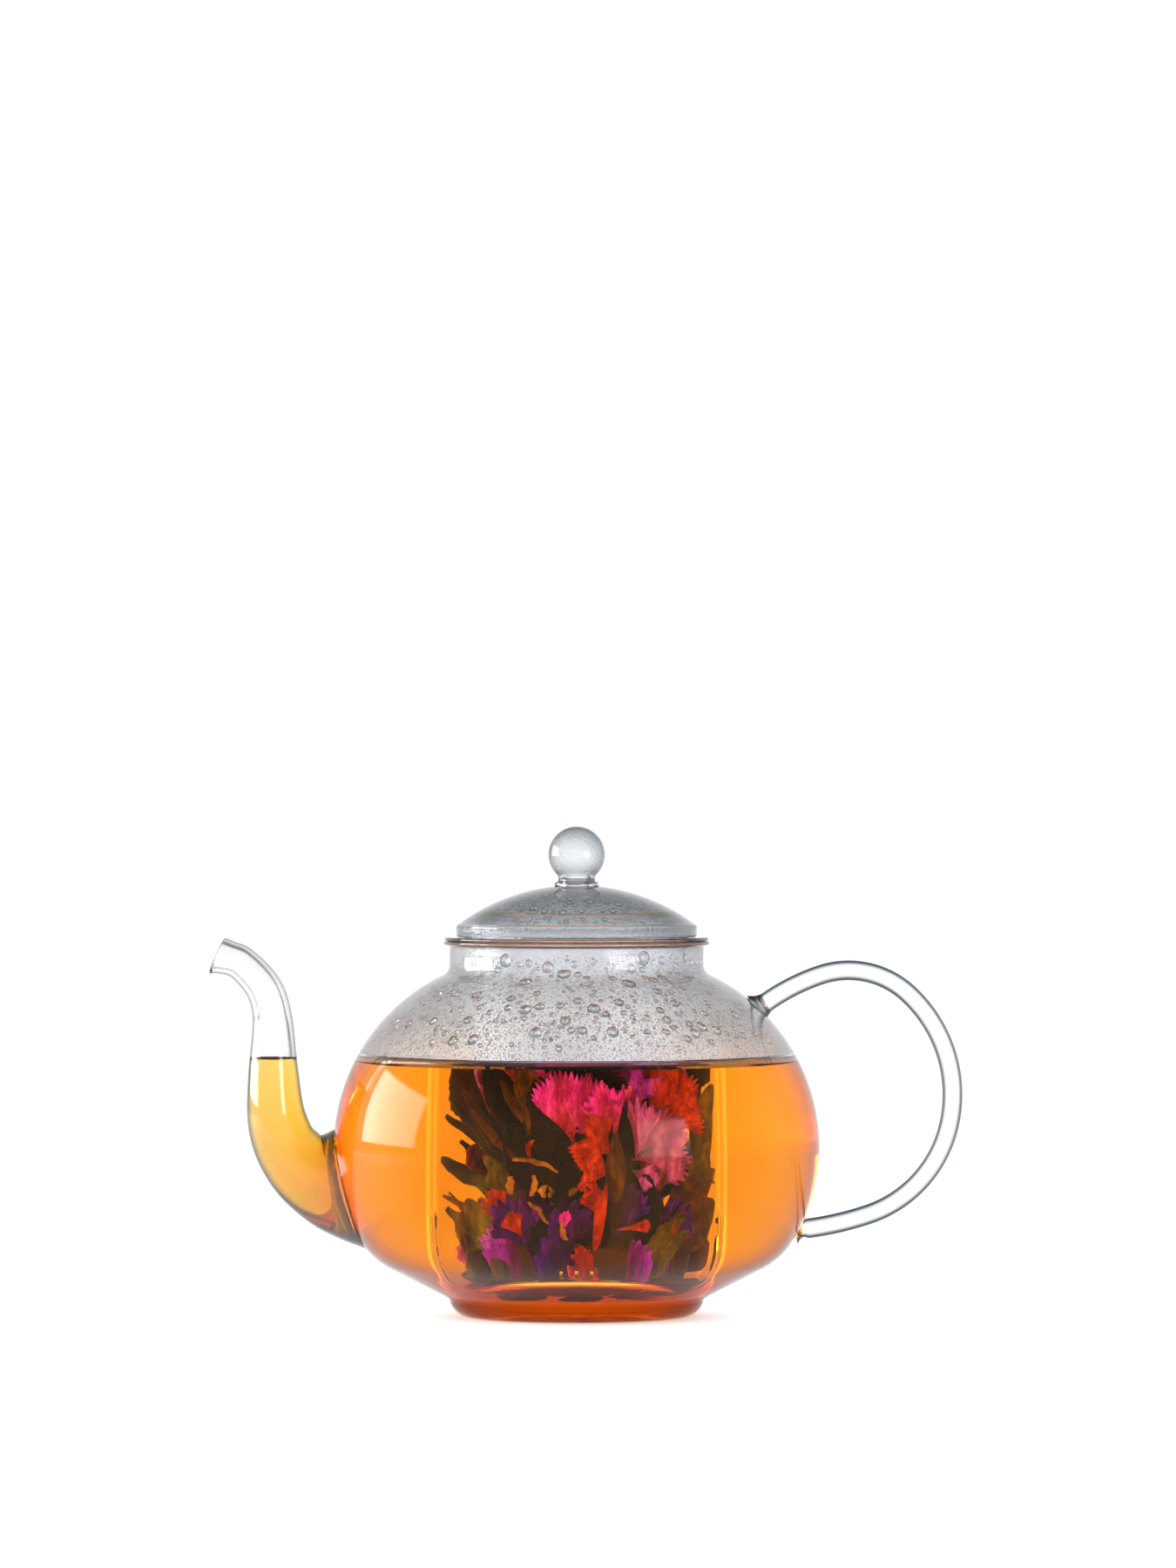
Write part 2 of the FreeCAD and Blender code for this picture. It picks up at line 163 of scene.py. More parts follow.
def ramp(nodes, stops, interpolation="LINEAR"):
    node = nodes.new("ShaderNodeValToRGB")
    node.color_ramp.interpolation = interpolation
    elements = node.color_ramp.elements
    while len(elements) < len(stops):
        elements.new(0.5)
    for element, (place, colour) in zip(elements, stops):
        element.position = place
        element.color = (*colour, 1.0)
    return node


def scaled_noise(nodes, links, scale, detail=2.0, roughness=0.5, stretch=(1, 1, 1)):
    where = nodes.new("ShaderNodeTexCoord")
    shape = nodes.new("ShaderNodeMapping")
    shape.inputs["Scale"].default_value = stretch
    links.new(where.outputs["Object"], shape.inputs["Vector"])
    node = nodes.new("ShaderNodeTexNoise")
    set_inputs(node, {"Scale": scale, "Detail": detail, "Roughness": roughness})
    links.new(shape.outputs["Vector"], node.inputs["Vector"])
    return node


def bump(nodes, links, shader, height, strength, distance):
    node = nodes.new("ShaderNodeBump")
    set_inputs(node, {"Strength": strength, "Distance": distance})
    links.new(height, node.inputs["Height"])
    links.new(node.outputs["Normal"], shader.inputs["Normal"])
    return node


def glass(name, stops, ior=1.47, ripple=0.12, gloss=(1, 1, 1), top_shade=None, painted_edge_highlight=None):
    """Clear blown glass with painted shade: its colour darkens towards grazing faces, in place of the dark
    surroundings seen at its silhouettes.

    stops are (facing, colour) pairs of that painted shade, from face-on to grazing; gloss tints the
    reflections;
    top_shade paints shade on upward faces, which see the dark ceiling; painted_edge_highlight paints a
    highlight on grazing faces as emission.
    """
    material, nodes, links, shader = new_material(name)
    set_inputs(shader, {
        "Transmission Weight": 1.0,
        "Roughness": 0.0,
        "IOR": ior,
        "Specular Tint": (*gloss, 1),
    })
    # Painted shade: the facing ramp darkens the glass towards its silhouettes.
    facing = nodes.new("ShaderNodeLayerWeight")
    facing.inputs["Blend"].default_value = 0.5
    tint = ramp(nodes, stops)
    links.new(facing.outputs["Facing"], tint.inputs["Fac"])
    colour = tint.outputs["Color"]
    # Painted shade on upward faces, for the dark ceiling they see.
    if top_shade:
        shape = nodes.new("ShaderNodeNewGeometry")
        split = nodes.new("ShaderNodeSeparateXYZ")
        links.new(shape.outputs["Normal"], split.inputs["Vector"])
        lift = ramp(nodes, [(0.45, (1, 1, 1)), (0.92, top_shade)])
        links.new(split.outputs["Z"], lift.inputs["Fac"])
        blend = nodes.new("ShaderNodeMix")
        blend.data_type = "RGBA"
        blend.blend_type = "MULTIPLY"
        blend.inputs["Factor"].default_value = 1.0
        links.new(colour, blend.inputs["A"])
        links.new(lift.outputs["Color"], blend.inputs["B"])
        colour = blend.outputs["Result"]
    links.new(colour, shader.inputs["Base Color"])
    # Painted highlight: emission on grazing faces.
    if painted_edge_highlight:
        band = ramp(nodes, [(0.70, (0, 0, 0)), (0.86, painted_edge_highlight), (0.98, (0, 0, 0))])
        links.new(facing.outputs["Facing"], band.inputs["Fac"])
        links.new(band.outputs["Color"], shader.inputs["Emission Color"])
        shader.inputs["Emission Strength"].default_value = 1.0
    if ripple:
        waves = scaled_noise(nodes, links, 60.0, 2.0, 0.5, (1, 1, 0.6))
        bump(nodes, links, shader, waves.outputs["Fac"], ripple, 0.0004)
    return material


def misted(name, ior=1.47, fog=0.32, grain=1100.0,
           low=(0.975, 0.98, 0.985), high=(0.975, 0.98, 0.985), glow=0.085):
    """Glass with a film of fine condensation inside; low and high are its tints at 0.078 and 0.104 m, painted
    shade graded by height; glow is painted light, a faint emission.
    """
    material, nodes, links, shader = new_material(name)
    set_inputs(shader, {"Transmission Weight": 1.0, "IOR": ior})
    where = nodes.new("ShaderNodeTexCoord")
    split = nodes.new("ShaderNodeSeparateXYZ")
    links.new(where.outputs["Object"], split.inputs["Vector"])
    # Painted shade: the tint runs from low to high with height.
    climb = nodes.new("ShaderNodeMapRange")
    set_inputs(climb, {"From Min": 0.078, "From Max": 0.104})
    links.new(split.outputs["Z"], climb.inputs["Value"])
    tint = ramp(nodes, [(0.0, low), (1.0, high)])
    links.new(climb.outputs["Result"], tint.inputs["Fac"])
    links.new(tint.outputs["Color"], shader.inputs["Base Color"])
    patches = scaled_noise(nodes, links, 70.0, 3.0, 0.6, (1, 1, 0.35))
    cover = ramp(nodes, [(0.36, (fog * 0.25,) * 3), (0.55, (fog,) * 3)])
    links.new(patches.outputs["Fac"], cover.inputs["Fac"])
    links.new(cover.outputs["Color"], shader.inputs["Roughness"])
    fine = scaled_noise(nodes, links, grain, 3.0, 0.7)
    bump(nodes, links, shader, fine.outputs["Fac"], 0.55, 0.0005)
    # Painted light: a faint bluish-white emission brightens the mist.
    set_inputs(shader, {"Emission Color": (0.92, 0.96, 1.0, 1), "Emission Strength": glow})
    return material


def liquid(name, ior, density, colour, gloss=(1, 1, 1)):
    material, nodes, links, shader = new_material(name)
    set_inputs(shader, {
        "Specular Tint": (*gloss, 1),
        "Transmission Weight": 1.0,
        "Roughness": 0.0,
        "IOR": ior,
        "Base Color": (1, 1, 1, 1),
    })
    if density:
        volume = nodes.new("ShaderNodeVolumeAbsorption")
        set_inputs(volume, {"Density": density, "Color": (*colour, 1)})
        links.new(volume.outputs["Volume"], nodes["Material Output"].inputs["Volume"])
    return material


CLEAR = (0.988, 0.992, 0.994)

# The stops of each glass below are painted shade, darkening it towards its silhouettes.
pot_clear = glass("pot_glass_clear", [
    (0, CLEAR), (0.60, (0.93, 0.945, 0.95)), (0.86, (0.34, 0.39, 0.43)), (0.98, (0.10, 0.13, 0.16)),
])
# Painted shade: below the tea line the wall's colour turns amber, then near-black towards its silhouettes.
pot_wet = glass("pot_glass_wet", [
    (0, CLEAR), (0.40, (0.99, 0.94, 0.86)), (0.58, (0.88, 0.60, 0.28)), (0.73, (0.44, 0.16, 0.05)),
    (0.86, (0.10, 0.04, 0.04)), (1.0, (0.14, 0.13, 0.16)),
], ior=1.2, ripple=0.04, gloss=(0.60, 0.44, 0.34))
# Painted light: the foot's glass is tinted red-orange, for the tea-coloured light reaching the base from
# below, darkening towards grazing.
pot_foot = glass("pot_glass_foot", [
    (0, (1.0, 0.44, 0.22)), (0.45, (0.92, 0.22, 0.09)), (0.78, (0.46, 0.06, 0.03)), (1.0, (0.14, 0.02, 0.02)),
], ior=1.2, ripple=0.9, gloss=(0.9, 0.3, 0.1))
# Painted shade: a dark blue-black band on the inner wall where the tea meets it.
tea_line = glass("pot_glass_tea_line", [(0, (0.13, 0.13, 0.20)), (1.0, (0.04, 0.04, 0.07))], ripple=0)
rod_clear = glass("rod_glass", [
    (0, CLEAR), (0.15, (0.95, 0.96, 0.965)), (0.36, (0.05, 0.07, 0.09)), (0.70, (0.008, 0.014, 0.02)),
], ripple=0.05, top_shade=(0.09, 0.12, 0.15))
spout_clear = glass("spout_glass", [
    (0, CLEAR), (0.38, (0.95, 0.955, 0.955)), (0.66, (0.14, 0.12, 0.11)), (0.90, (0.02, 0.02, 0.025)),
])
lid_clear = glass("lid_glass_clear", [
    (0, (0.90, 0.92, 0.93)), (0.50, (0.72, 0.76, 0.79)), (0.88, (0.13, 0.17, 0.20)),
])
# Painted reflection: the rims' amber-brown colour stands in for the tea's light seen in the thick glass,
# darkening towards grazing.
rim_painted_tea_reflection = glass("rim_glass_painted_tea_reflection", [
    (0, (0.62, 0.40, 0.34)), (0.30, (0.34, 0.14, 0.10)), (0.80, (0.05, 0.012, 0.008)),
], ripple=0.05)
knob_clear = glass("knob_glass_clear", [
    (0, (0.96, 0.965, 0.97)), (0.20, (0.80, 0.82, 0.83)), (0.42, (0.50, 0.53, 0.55)),
    (0.72, (0.05, 0.06, 0.08)),
])
# Painted shade towards grazing, and a painted cream highlight as emission on grazing faces.
soaked = glass("infuser_glass_soaked", [
    (0, CLEAR), (0.66, (0.95, 0.90, 0.84)), (0.97, (0.42, 0.20, 0.06)),
], ior=1.105, painted_edge_highlight=(0.80, 0.56, 0.24))
collar_clear = glass("lid_collar_clear", [
    (0, CLEAR), (0.8, (0.86, 0.88, 0.90)), (1, (0.40, 0.44, 0.47)),
], ior=1.12)
infuser_clear = glass("infuser_glass_clear", [
    (0, CLEAR), (0.75, (0.93, 0.94, 0.95)), (1, (0.25, 0.28, 0.30)),
])
# Painted shade: the pot's mist greys towards the top; each glow is a faint painted emission.
pot_mist = misted("pot_glass_mist", fog=0.22, low=(0.985, 0.985, 0.985), high=(0.74, 0.77, 0.80), glow=0.07)
lid_mist = misted("lid_glass_mist", fog=0.20, low=(0.72, 0.75, 0.78), high=(0.64, 0.68, 0.72), glow=0.02)
knob_mist = misted("knob_glass_mist", fog=0.4, grain=1600.0,
                   low=(0.86, 0.88, 0.90), high=(0.86, 0.88, 0.90), glow=0.04)
droplet_water = liquid("condensed_water", 1.33, 0, None)
tea_liquid = liquid("amber_tea", 1.33, 50.0, (0.995, 0.795, 0.04), (0.50, 0.34, 0.22))
spout_tea_liquid = liquid("amber_tea_in_spout", 1.33, 205.0, (0.985, 0.79, 0.03), (0.6, 0.4, 0.25))


# ---------------------------------------------------------------- the pot

def offset(radius, height, slope, amount):
    angle = math.radians(slope)
    return radius - amount * math.sin(angle), height + amount * math.cos(angle)


def pot_wall(amount):
    """The wall's corners from the heel to the neck, moved inwards by amount."""
    return [
        (*offset(38.2, 5.4, 27.0, amount), None, 0),
        (*offset(56.1, 14.5, 28.0, amount), 22.1 - amount, 1),
        (*offset(64.2, 21.9, 56.8, amount), 51.2 - amount, 1),
        (*offset(BELLY_RADIUS, BELLY_HEIGHT, 90, amount), 57.3 - amount, 1),
        (*offset(39.83, 101.79, 154.66, amount), 3.2 + amount, -1),
        (*offset(38.0, 104.68, 90, amount), None, 0),
    ]


def pot_outline():
    outside = [(0, 0, None, 0), (33.4, 0, 6.6, 1)] + pot_wall(0)
    outside += [
        (38.0, RIM_TOP - 1.9, 0.9, -1),
        (38.9, RIM_TOP - 1.1, None, 0),
        (39.35, RIM_TOP - 1.1, 0.56, 1),
        (39.35, RIM_TOP, None, 0),
    ]
    inside = [(0, 3.2, None, 0), (27.4, 3.2, 18.0, 1)] + pot_wall(WALL)
    inside += [(36.0, RIM_TOP - 0.6, 0.6, -1), (36.6, RIM_TOP, None, 0)]
    return outside, inside


def reversed_corners(corners):
    """The same corners the other way round, each bend moved to the corner it now starts from."""
    flipped = []
    for number in range(len(corners) - 1, -1, -1):
        radius, height = corners[number][:2]
        bend, turn = (corners[number - 1][2], -corners[number - 1][3]) if number else (None, 0)
        flipped.append((radius, height, bend, turn))
    return flipped


def make_pot_body():
    outside, inside = pot_outline()
    corners = outside + reversed_corners(inside)

    def pick(middle):
        radius = math.hypot(middle.x, middle.y)
        if middle.z < 12.0:
            return 3
        # the painted dark band where the tea meets the wall
        if abs(middle.z - TEA_LEVEL - 0.5) < 0.7 and radius < outer_radius(middle.z) - WALL * 0.6:
            return 5
        if middle.z < TEA_LEVEL + 0.8:
            return 2
        # the rim's painted tea reflection
        if middle.z > RIM_TOP - 1.4 and radius > 36.8:
            return 4
        return 1 if radius < 36.1 or is_inside(radius, middle.z) else 0

    materials = [pot_clear, pot_mist, pot_wet, pot_foot, rim_painted_tea_reflection, tea_line]
    piece = lathed_piece("pot_glass", corners, 176, materials, "pot", pick)
    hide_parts("pot_body")
    return piece


def outer_radius(height):
    """Outer radius of the belly at a height, from its arcs."""
    if height >= 104.68:
        return 38.0
    if height > 101.79:
        return 41.2 - math.sqrt(max(3.2 ** 2 - (104.68 - height) ** 2, 0))
    if height >= BELLY_HEIGHT:
        return BELLY_RADIUS - 57.3 + math.sqrt(57.3 ** 2 - (height - BELLY_HEIGHT) ** 2)
    if height >= 21.9:
        return BELLY_RADIUS - 51.2 + math.sqrt(51.2 ** 2 - (BELLY_HEIGHT - height) ** 2)
    return 64.2 - (21.9 - height) * 1.1


def is_inside(radius, height):
    return radius < outer_radius(height) - WALL * 0.6


# The spout's stations: centre along X, height, outside diameter, heading from +X in degrees.
SPOUT = [
    (-67.6, 37.7, 37.2, 196.0),
    (-70.2, 38.1, 34.6, 192.5),
    (-73.2, 38.9, 31.4, 186.0),
    (-78.2, 41.0, 26.6, 173.0),
    (-85.4, 48.1, 21.0, 142.0),
    (-89.5, 58.4, 17.9, 108.0),
    (-90.5, 72.0, 15.2, 93.0),
    (-90.8, 88.7, 12.0, 96.0),
    (-93.4, 97.8, 11.1, 119.0),
    (-99.8, 105.0, 10.4, 145.0),
    (-104.6, 106.9, 10.8, 153.0),
    (-107.1, 107.4, 11.7, 156.0),
]
SPOUT_WALL = 1.6


def catmull(points, count):
    """A smooth curve through points (tuples of numbers), with count samples for each span."""
    out = []
    last = len(points) - 1
    for i in range(last):
        p0 = Vector(points[max(i - 1, 0)])
        p1, p2 = Vector(points[i]), Vector(points[i + 1])
        p3 = Vector(points[min(i + 2, last)])
        for k in range(count):
            t = k / count
            out.append(0.5 * ((2 * p1) + (p2 - p0) * t + (2 * p0 - 5 * p1 + 4 * p2 - p3) * t * t
                              + (3 * p1 - p0 - 3 * p2 + p3) * t * t * t))
    out.append(Vector(points[last]))
    return out


def spout_ring(station, inset, segments):
    along, height, across, heading = station
    turn = math.radians(heading)
    up = Vector((math.sin(turn), 0, -math.cos(turn)))
    if up.z < 0 and heading < 90:
        up = -up
    radius = across / 2 - inset
    centre = Vector((along, 0, height))
    return [centre + up * radius * math.cos(TAU * i / segments)
            + Vector((0, radius * math.sin(TAU * i / segments), 0))
            for i in range(segments)]


def sink_to_wall(point, depth):
    """Move a point of the spout's root radially onto the body's outer face, sunk by depth."""
    radius = math.hypot(point.x, point.y)
    target = outer_radius(point.z) - depth
    return Vector((point.x * target / radius, point.y * target / radius, point.z))


def bridge(rings):
    """Faces between successive closed rings of vertex numbers."""
    faces = []
    for low, high in zip(rings, rings[1:]):
        for i in range(len(low)):
            j = (i + 1) % len(low)
            faces.append([low[i], low[j], high[j], high[i]])
    return faces


def make_spout():
    segments = 72
    stations = catmull(SPOUT, 9)
    outside = [spout_ring(s, 0, segments) for s in stations]
    inside = [spout_ring(s, SPOUT_WALL, segments) for s in stations]
    outside[0] = [sink_to_wall(p, 0.25) for p in outside[1]]
    inside[0] = [sink_to_wall(p, 0.25) for p in inside[1]]
    lip = []
    for step in (0.2, 0.5, 0.8):
        bulge = 0.55 * math.sin(math.pi * step)
        heading = math.radians(stations[-1][3])
        out = Vector((math.cos(heading), 0, math.sin(heading))) * bulge
        lip.append([a.lerp(b, step) + out for a, b in zip(outside[-1], inside[-1])])
    loops = outside + lip + inside[::-1]
    verts = [p for ring in loops for p in ring]
    rings = [list(range(n * segments, (n + 1) * segments)) for n in range(len(loops))]
    faces = bridge(rings + [rings[0]])
    piece = mesh_piece("spout_glass", verts, faces, [spout_clear], "pot")
    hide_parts("spout_tube", "spout_collar")
    return piece


def tube_along(path, radii, segments, squash=1.0):
    """A closed tube along a path in the XZ plane, with rounded-off ends given by its radii."""
    verts, rings = [], []
    for n, (point, radius) in enumerate(zip(path, radii)):
        ahead = path[min(n + 1, len(path) - 1)] - path[max(n - 1, 0)]
        side = Vector((0, 1, 0))
        up = ahead.normalized().cross(side).normalized()
        rings.append(list(range(len(verts), len(verts) + segments)))
        for i in range(segments):
            angle = TAU * i / segments
            verts.append(point + side * radius * math.cos(angle) + up * radius * squash * math.sin(angle))
    faces = bridge(rings)
    faces.append(rings[0][::-1])
    faces.append(rings[-1])
    return verts, faces


HANDLE_START = (57.2, 93.9, 34.6)
HANDLE_ARCS = [(62.5, 16.1), (26.2, 61.0), (41.0, 60.4), (36.7, 58.7), (97.7, 10.7)]
ROD_RADIUS = 3.0


def handle_line(step=1.0):
    """The rod's centre line: tangent arcs that all turn right, and its end slope in degrees."""
    here = Vector(HANDLE_START[:2])
    slope = HANDLE_START[2]
    points = []
    for bend, sweep in HANDLE_ARCS:
        count = math.ceil(math.radians(sweep) * bend / step)
        first = math.radians(slope)
        for i in range(count + 1):
            angle = math.radians(slope - sweep * i / count)
            points.append(here + bend * Vector((
                math.sin(first) - math.sin(angle), math.cos(angle) - math.cos(first))))
        here = points.pop()
        slope -= sweep
    return [Vector((p.x, 0, p.y)) for p in points + [here]], slope


def make_handle():
    path, end_slope = handle_line()
    radii = [ROD_RADIUS] * len(path)
    start = math.radians(HANDLE_START[2])
    back = Vector((-math.cos(start), 0, -math.sin(start)))
    upper, lower = [], []
    for reach, radius in ((4.4, 5.0), (3.6, 4.5), (2.8, 3.9), (2.0, 3.45), (1.2, 3.15), (0.6, 3.02)):
        upper.append((path[0] + back * reach, radius))
    away = math.radians(end_slope)
    on = Vector((math.cos(away), 0, math.sin(away)))
    for reach, radius in (
            (0.5, 2.9), (1.0, 2.65), (1.5, 2.45), (2.1, 2.5), (2.7, 2.9), (3.3, 3.5), (3.9, 4.2)):
        lower.append((path[-1] + on * reach, radius))
    path = [p for p, _ in upper] + path + [p for p, _ in lower]
    radii = [r for _, r in upper] + radii + [r for _, r in lower]
    verts, faces = tube_along(path, radii, 40)
    piece = mesh_piece("handle_glass", verts, faces, [rod_clear], "pot")
    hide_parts("handle_rod", "handle_upper_weld", "handle_lower_weld")
    return piece


# ---------------------------------------------------------------- tea

OVERLAP = 0.35


def make_tea():
    """The pot's tea, its skin sunk a little into the glass, with a meniscus at the wall."""
    wall = pot_wall(WALL - OVERLAP)[:3]
    top_radius = outer_radius(TEA_LEVEL + 1.4) - WALL + OVERLAP
    shoulder = [(*offset(BELLY_RADIUS, BELLY_HEIGHT, 90, WALL - OVERLAP), 57.3 - WALL + OVERLAP, 1)]
    corners = [(0, 3.2 - OVERLAP, None, 0), (27.4, 3.2 - OVERLAP, 18.0, 1)] + wall + shoulder
    corners += [
        (top_radius, TEA_LEVEL + 1.4, 3.2, -1),
        (top_radius - 2.6, TEA_LEVEL, None, 0),
        (0, TEA_LEVEL, None, 0),
    ]
    return lathed_piece("tea", corners, 144, [tea_liquid], "pot")


def make_spout_tea():
    """The tea that stands in the spout, at the pot's level."""
    segments = 60
    stations = catmull(SPOUT, 9)
    rings = []
    for station in stations[1:]:
        ring = spout_ring(station, SPOUT_WALL - OVERLAP, segments)
        if max(p.z for p in ring) > TEA_LEVEL:
            break
        rings.append(ring)
    rings[0] = [sink_to_wall(p, 0.2) for p in rings[0]]
    top = spout_ring((-90.6, TEA_LEVEL + 1.2, 14.5, 90.0), SPOUT_WALL - OVERLAP, segments)
    centre = sum(top, Vector()) / segments
    rings.append(top)
    for share, drop in ((0.9, 0.75), (0.78, 1.1), (0.6, 1.25)):
        rings.append([centre.lerp(p, share) - Vector((0, 0, drop)) for p in top])
    verts = [p for ring in rings for p in ring]
    loops = [list(range(n * segments, (n + 1) * segments)) for n in range(len(rings))]
    faces = bridge(loops)
    root = len(verts)
    middle = sum(rings[0], Vector()) / segments
    verts.append(sink_to_wall(middle, 0.2))
    faces += [[loops[0][(i + 1) % segments], loops[0][i], root] for i in range(segments)]
    crown = len(verts)
    verts.append(centre - Vector((0, 0, 1.25)))
    faces += [[loops[-1][i], loops[-1][(i + 1) % segments], crown] for i in range(segments)]
    return mesh_piece("spout_tea", verts, faces, [spout_tea_liquid], "pot")


# ---------------------------------------------------------------- infuser

def slit_cutter():
    """Round-topped bars, three on each of four sides, that cut the infuser's slits."""
    verts, faces = [], []
    half = SLIT_WIDTH / 2
    profile = [(-half, SLIT_BOTTOM), (half, SLIT_BOTTOM)]
    for i in range(9):
        angle = math.pi * i / 8
        profile.append((half * math.cos(angle), SLIT_TOP - half + half * math.sin(angle)))
    for side in range(4):
        turn = TAU * side / 4
        out = Vector((math.cos(turn), math.sin(turn), 0))
        across = Vector((-out.y, out.x, 0))
        for number in (-1, 0, 1):
            first = len(verts)
            count = len(profile)
            for reach in (27.5, 36.0):
                for shift, height in profile:
                    verts.append(
                        out * reach + across * (shift + number * SLIT_PITCH) + Vector((0, 0, height)))
            faces.append([first + i for i in range(count)][::-1])
            faces.append([first + count + i for i in range(count)])
            for i in range(count):
                j = (i + 1) % count
                faces.append([first + i, first + j, first + count + j, first + count + i])
    mesh = bpy.data.meshes.new("slit_cutter")
    mesh.from_pydata([v * MM for v in verts], [], faces)
    cutter = bpy.data.objects.new("slit_cutter", mesh)
    bpy.context.scene.collection.objects.link(cutter)
    return cutter


def cut_slits(piece):
    """Cut the slits through the infuser's mesh and keep the result as its own mesh."""
    cutter = slit_cutter()
    modifier = piece.modifiers.new("slits", "BOOLEAN")
    modifier.operation = "DIFFERENCE"
    modifier.solver = "EXACT"
    modifier.object = cutter
    graph = bpy.context.evaluated_depsgraph_get()
    mesh = bpy.data.meshes.new_from_object(piece.evaluated_get(graph))
    piece.modifiers.clear()
    piece.data = mesh
    bpy.data.objects.remove(cutter)


def make_infuser():
    inner = INFUSER_RADIUS - INFUSER_WALL
    under = RIM_TOP + 0.1
    kick = (INFUSER_RING ** 2 + INFUSER_KICK ** 2) / (2 * INFUSER_KICK)
    low, bend = INFUSER_BOTTOM, INFUSER_CORNER
    corners = [
        (0, low + INFUSER_KICK, kick, -1),
        (INFUSER_RING, low, None, 0),
        (INFUSER_RADIUS - bend, low, bend, 1),
        (INFUSER_RADIUS, low + bend, None, 0),
        (INFUSER_RADIUS, TEA_LEVEL, None, 0),
        (INFUSER_RADIUS, under - 0.6, 0.6, -1),
        (34.5, under, None, 0),
        (39.0, under, 0.56, 1),
        (39.0, FLANGE_TOP, None, 0),
        (inner + 0.8, FLANGE_TOP, 0.8, 1),
        (inner, FLANGE_TOP - 0.8, None, 0),
        (inner, low + bend, bend - INFUSER_WALL, -1),
        (INFUSER_RADIUS - bend, low + INFUSER_WALL, None, 0),
        (INFUSER_RING, low + INFUSER_WALL, kick, 1),
        (0, low + INFUSER_WALL + INFUSER_KICK, None, 0),
    ]

    def pick(middle):
        if middle.z < TEA_LEVEL + 0.4:
            return 0
        # the flange takes the rim's painted tea reflection
        return 2 if middle.z > under - 0.5 and math.hypot(middle.x, middle.y) > 34.2 else 1

    materials = [soaked, infuser_clear, rim_painted_tea_reflection]
    piece = lathed_piece("infuser_glass", corners, 144, materials, "infuser", pick)
    cut_slits(piece)
    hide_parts("infuser")
    return piece


# ---------------------------------------------------------------- lid and knob

def dome_height(radius, inset=0.0):
    return CROWN - 59.2 + math.sqrt((59.2 - inset) ** 2 - radius ** 2)


def make_lid():
    bottom = FLANGE_TOP + 0.1
    corners = [
        (3.8, dome_height(3.8, 1.8), 57.4, -1),
        (33.4, dome_height(33.4, 1.8), None, 0),
        (33.0, bottom + 0.6, 0.6, 1),
        (33.6, bottom, None, 0),
        (LID_RADIUS - 0.8, bottom, 0.8, 1),
        (LID_RADIUS, bottom + 0.8, None, 0),
        (LID_RADIUS, bottom + 2.5, 1.0, 1),
        (LID_RADIUS - 0.7, dome_height(LID_RADIUS - 0.7), 59.2, 1),
        (3.8, dome_height(3.8), None, 0),
        (3.8, dome_height(3.8, 1.8), None, 0),
    ]

    def pick(middle):
        radius = math.hypot(middle.x, middle.y)
        return 1 if radius < 33.2 and middle.z < dome_height(radius, 0.9) else 0

    lid = lathed_piece("lid_glass", corners, 144, [lid_clear, lid_mist], "lid", pick)
    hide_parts("lid_dome")
    collar = lathed_piece("lid_collar_glass", [
        (28.0, 97.9, 0.4, 1),
        (28.4, 97.5, None, 0),
        (29.2, 97.5, 0.4, 1),
        (29.6, 97.9, None, 0),
        (29.6, dome_height(29.6, 1.75), None, 0),
        (28.0, dome_height(28.0, 1.75), None, 0),
        (28.0, 97.9, None, 0),
    ], 128, [collar_clear], "lid")
    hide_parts("lid_collar")
    return lid, collar


def make_knob():
    ball = 8.45
    height = KNOB_TOP - ball
    stem, bore, inner = 5.6, 3.8, ball - 1.8
    corners = [
        (bore, dome_height(bore) - 0.05, None, 0),
        (stem + 0.9, dome_height(stem + 0.9) - 0.05, 0.9, 1),
        (stem + 0.7, dome_height(stem) + 1.1, 0.8, -1),
        (stem - 0.1, dome_height(stem) + 1.9, None, 0),
        (stem, height - math.sqrt(ball ** 2 - stem ** 2), ball, 1),
        (ball, height, ball, 1),
        (0, height + ball, None, 0),
        (0, height + inner, inner, -1),
        (inner, height, inner, -1),
        (bore, height - math.sqrt(inner ** 2 - bore ** 2), None, 0),
        (bore, dome_height(bore) - 0.05, None, 0),
    ]

    def pick(middle):
        return 1 if (middle - Vector((0, 0, height))).length < (ball + inner) / 2 else 0

    knob = lathed_piece("knob_glass", corners, 96, [knob_clear, knob_mist], "lid", pick)
    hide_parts("knob", "knob_weld")
    return knob


# ---------------------------------------------------------------- condensation

def add_drop(verts, faces, place, normal, down, radius, rise, segments, bands):
    """One flattened drop: a closed lens on a wall, its back sunk in the glass, fuller below."""
    side = normal.cross(down).normalized()
    down = side.cross(normal).normalized()
    sunk = min(0.12, rise * 0.5)
    first = len(verts)
    verts.append(place - normal * sunk)
    for band in range(bands + 1):
        share = 1 - band / (bands + 1)
        lift = rise * (1 - share ** 2.2) - (sunk if band == 0 else 0)
        for i in range(segments):
            angle = TAU * i / segments
            fall = math.cos(angle)
            reach = radius * share * (1 + 0.16 * fall)
            verts.append(place + (down * fall + side * math.sin(angle) * 0.92) * reach
                         + down * rise * 0.25 * (1 - share) + normal * lift)
    verts.append(place + down * rise * 0.3 + normal * rise)
    last = len(verts) - 1
    rings = [list(range(first + 1 + b * segments, first + 1 + (b + 1) * segments)) for b in range(bands + 1)]
    for i in range(segments):
        j = (i + 1) % segments
        faces.append([first, rings[0][j], rings[0][i]])
        faces.append([last, rings[-1][i], rings[-1][j]])
    for low, high in zip(rings, rings[1:]):
        for i in range(segments):
            j = (i + 1) % segments
            faces.append([low[i], low[j], high[j], high[i]])


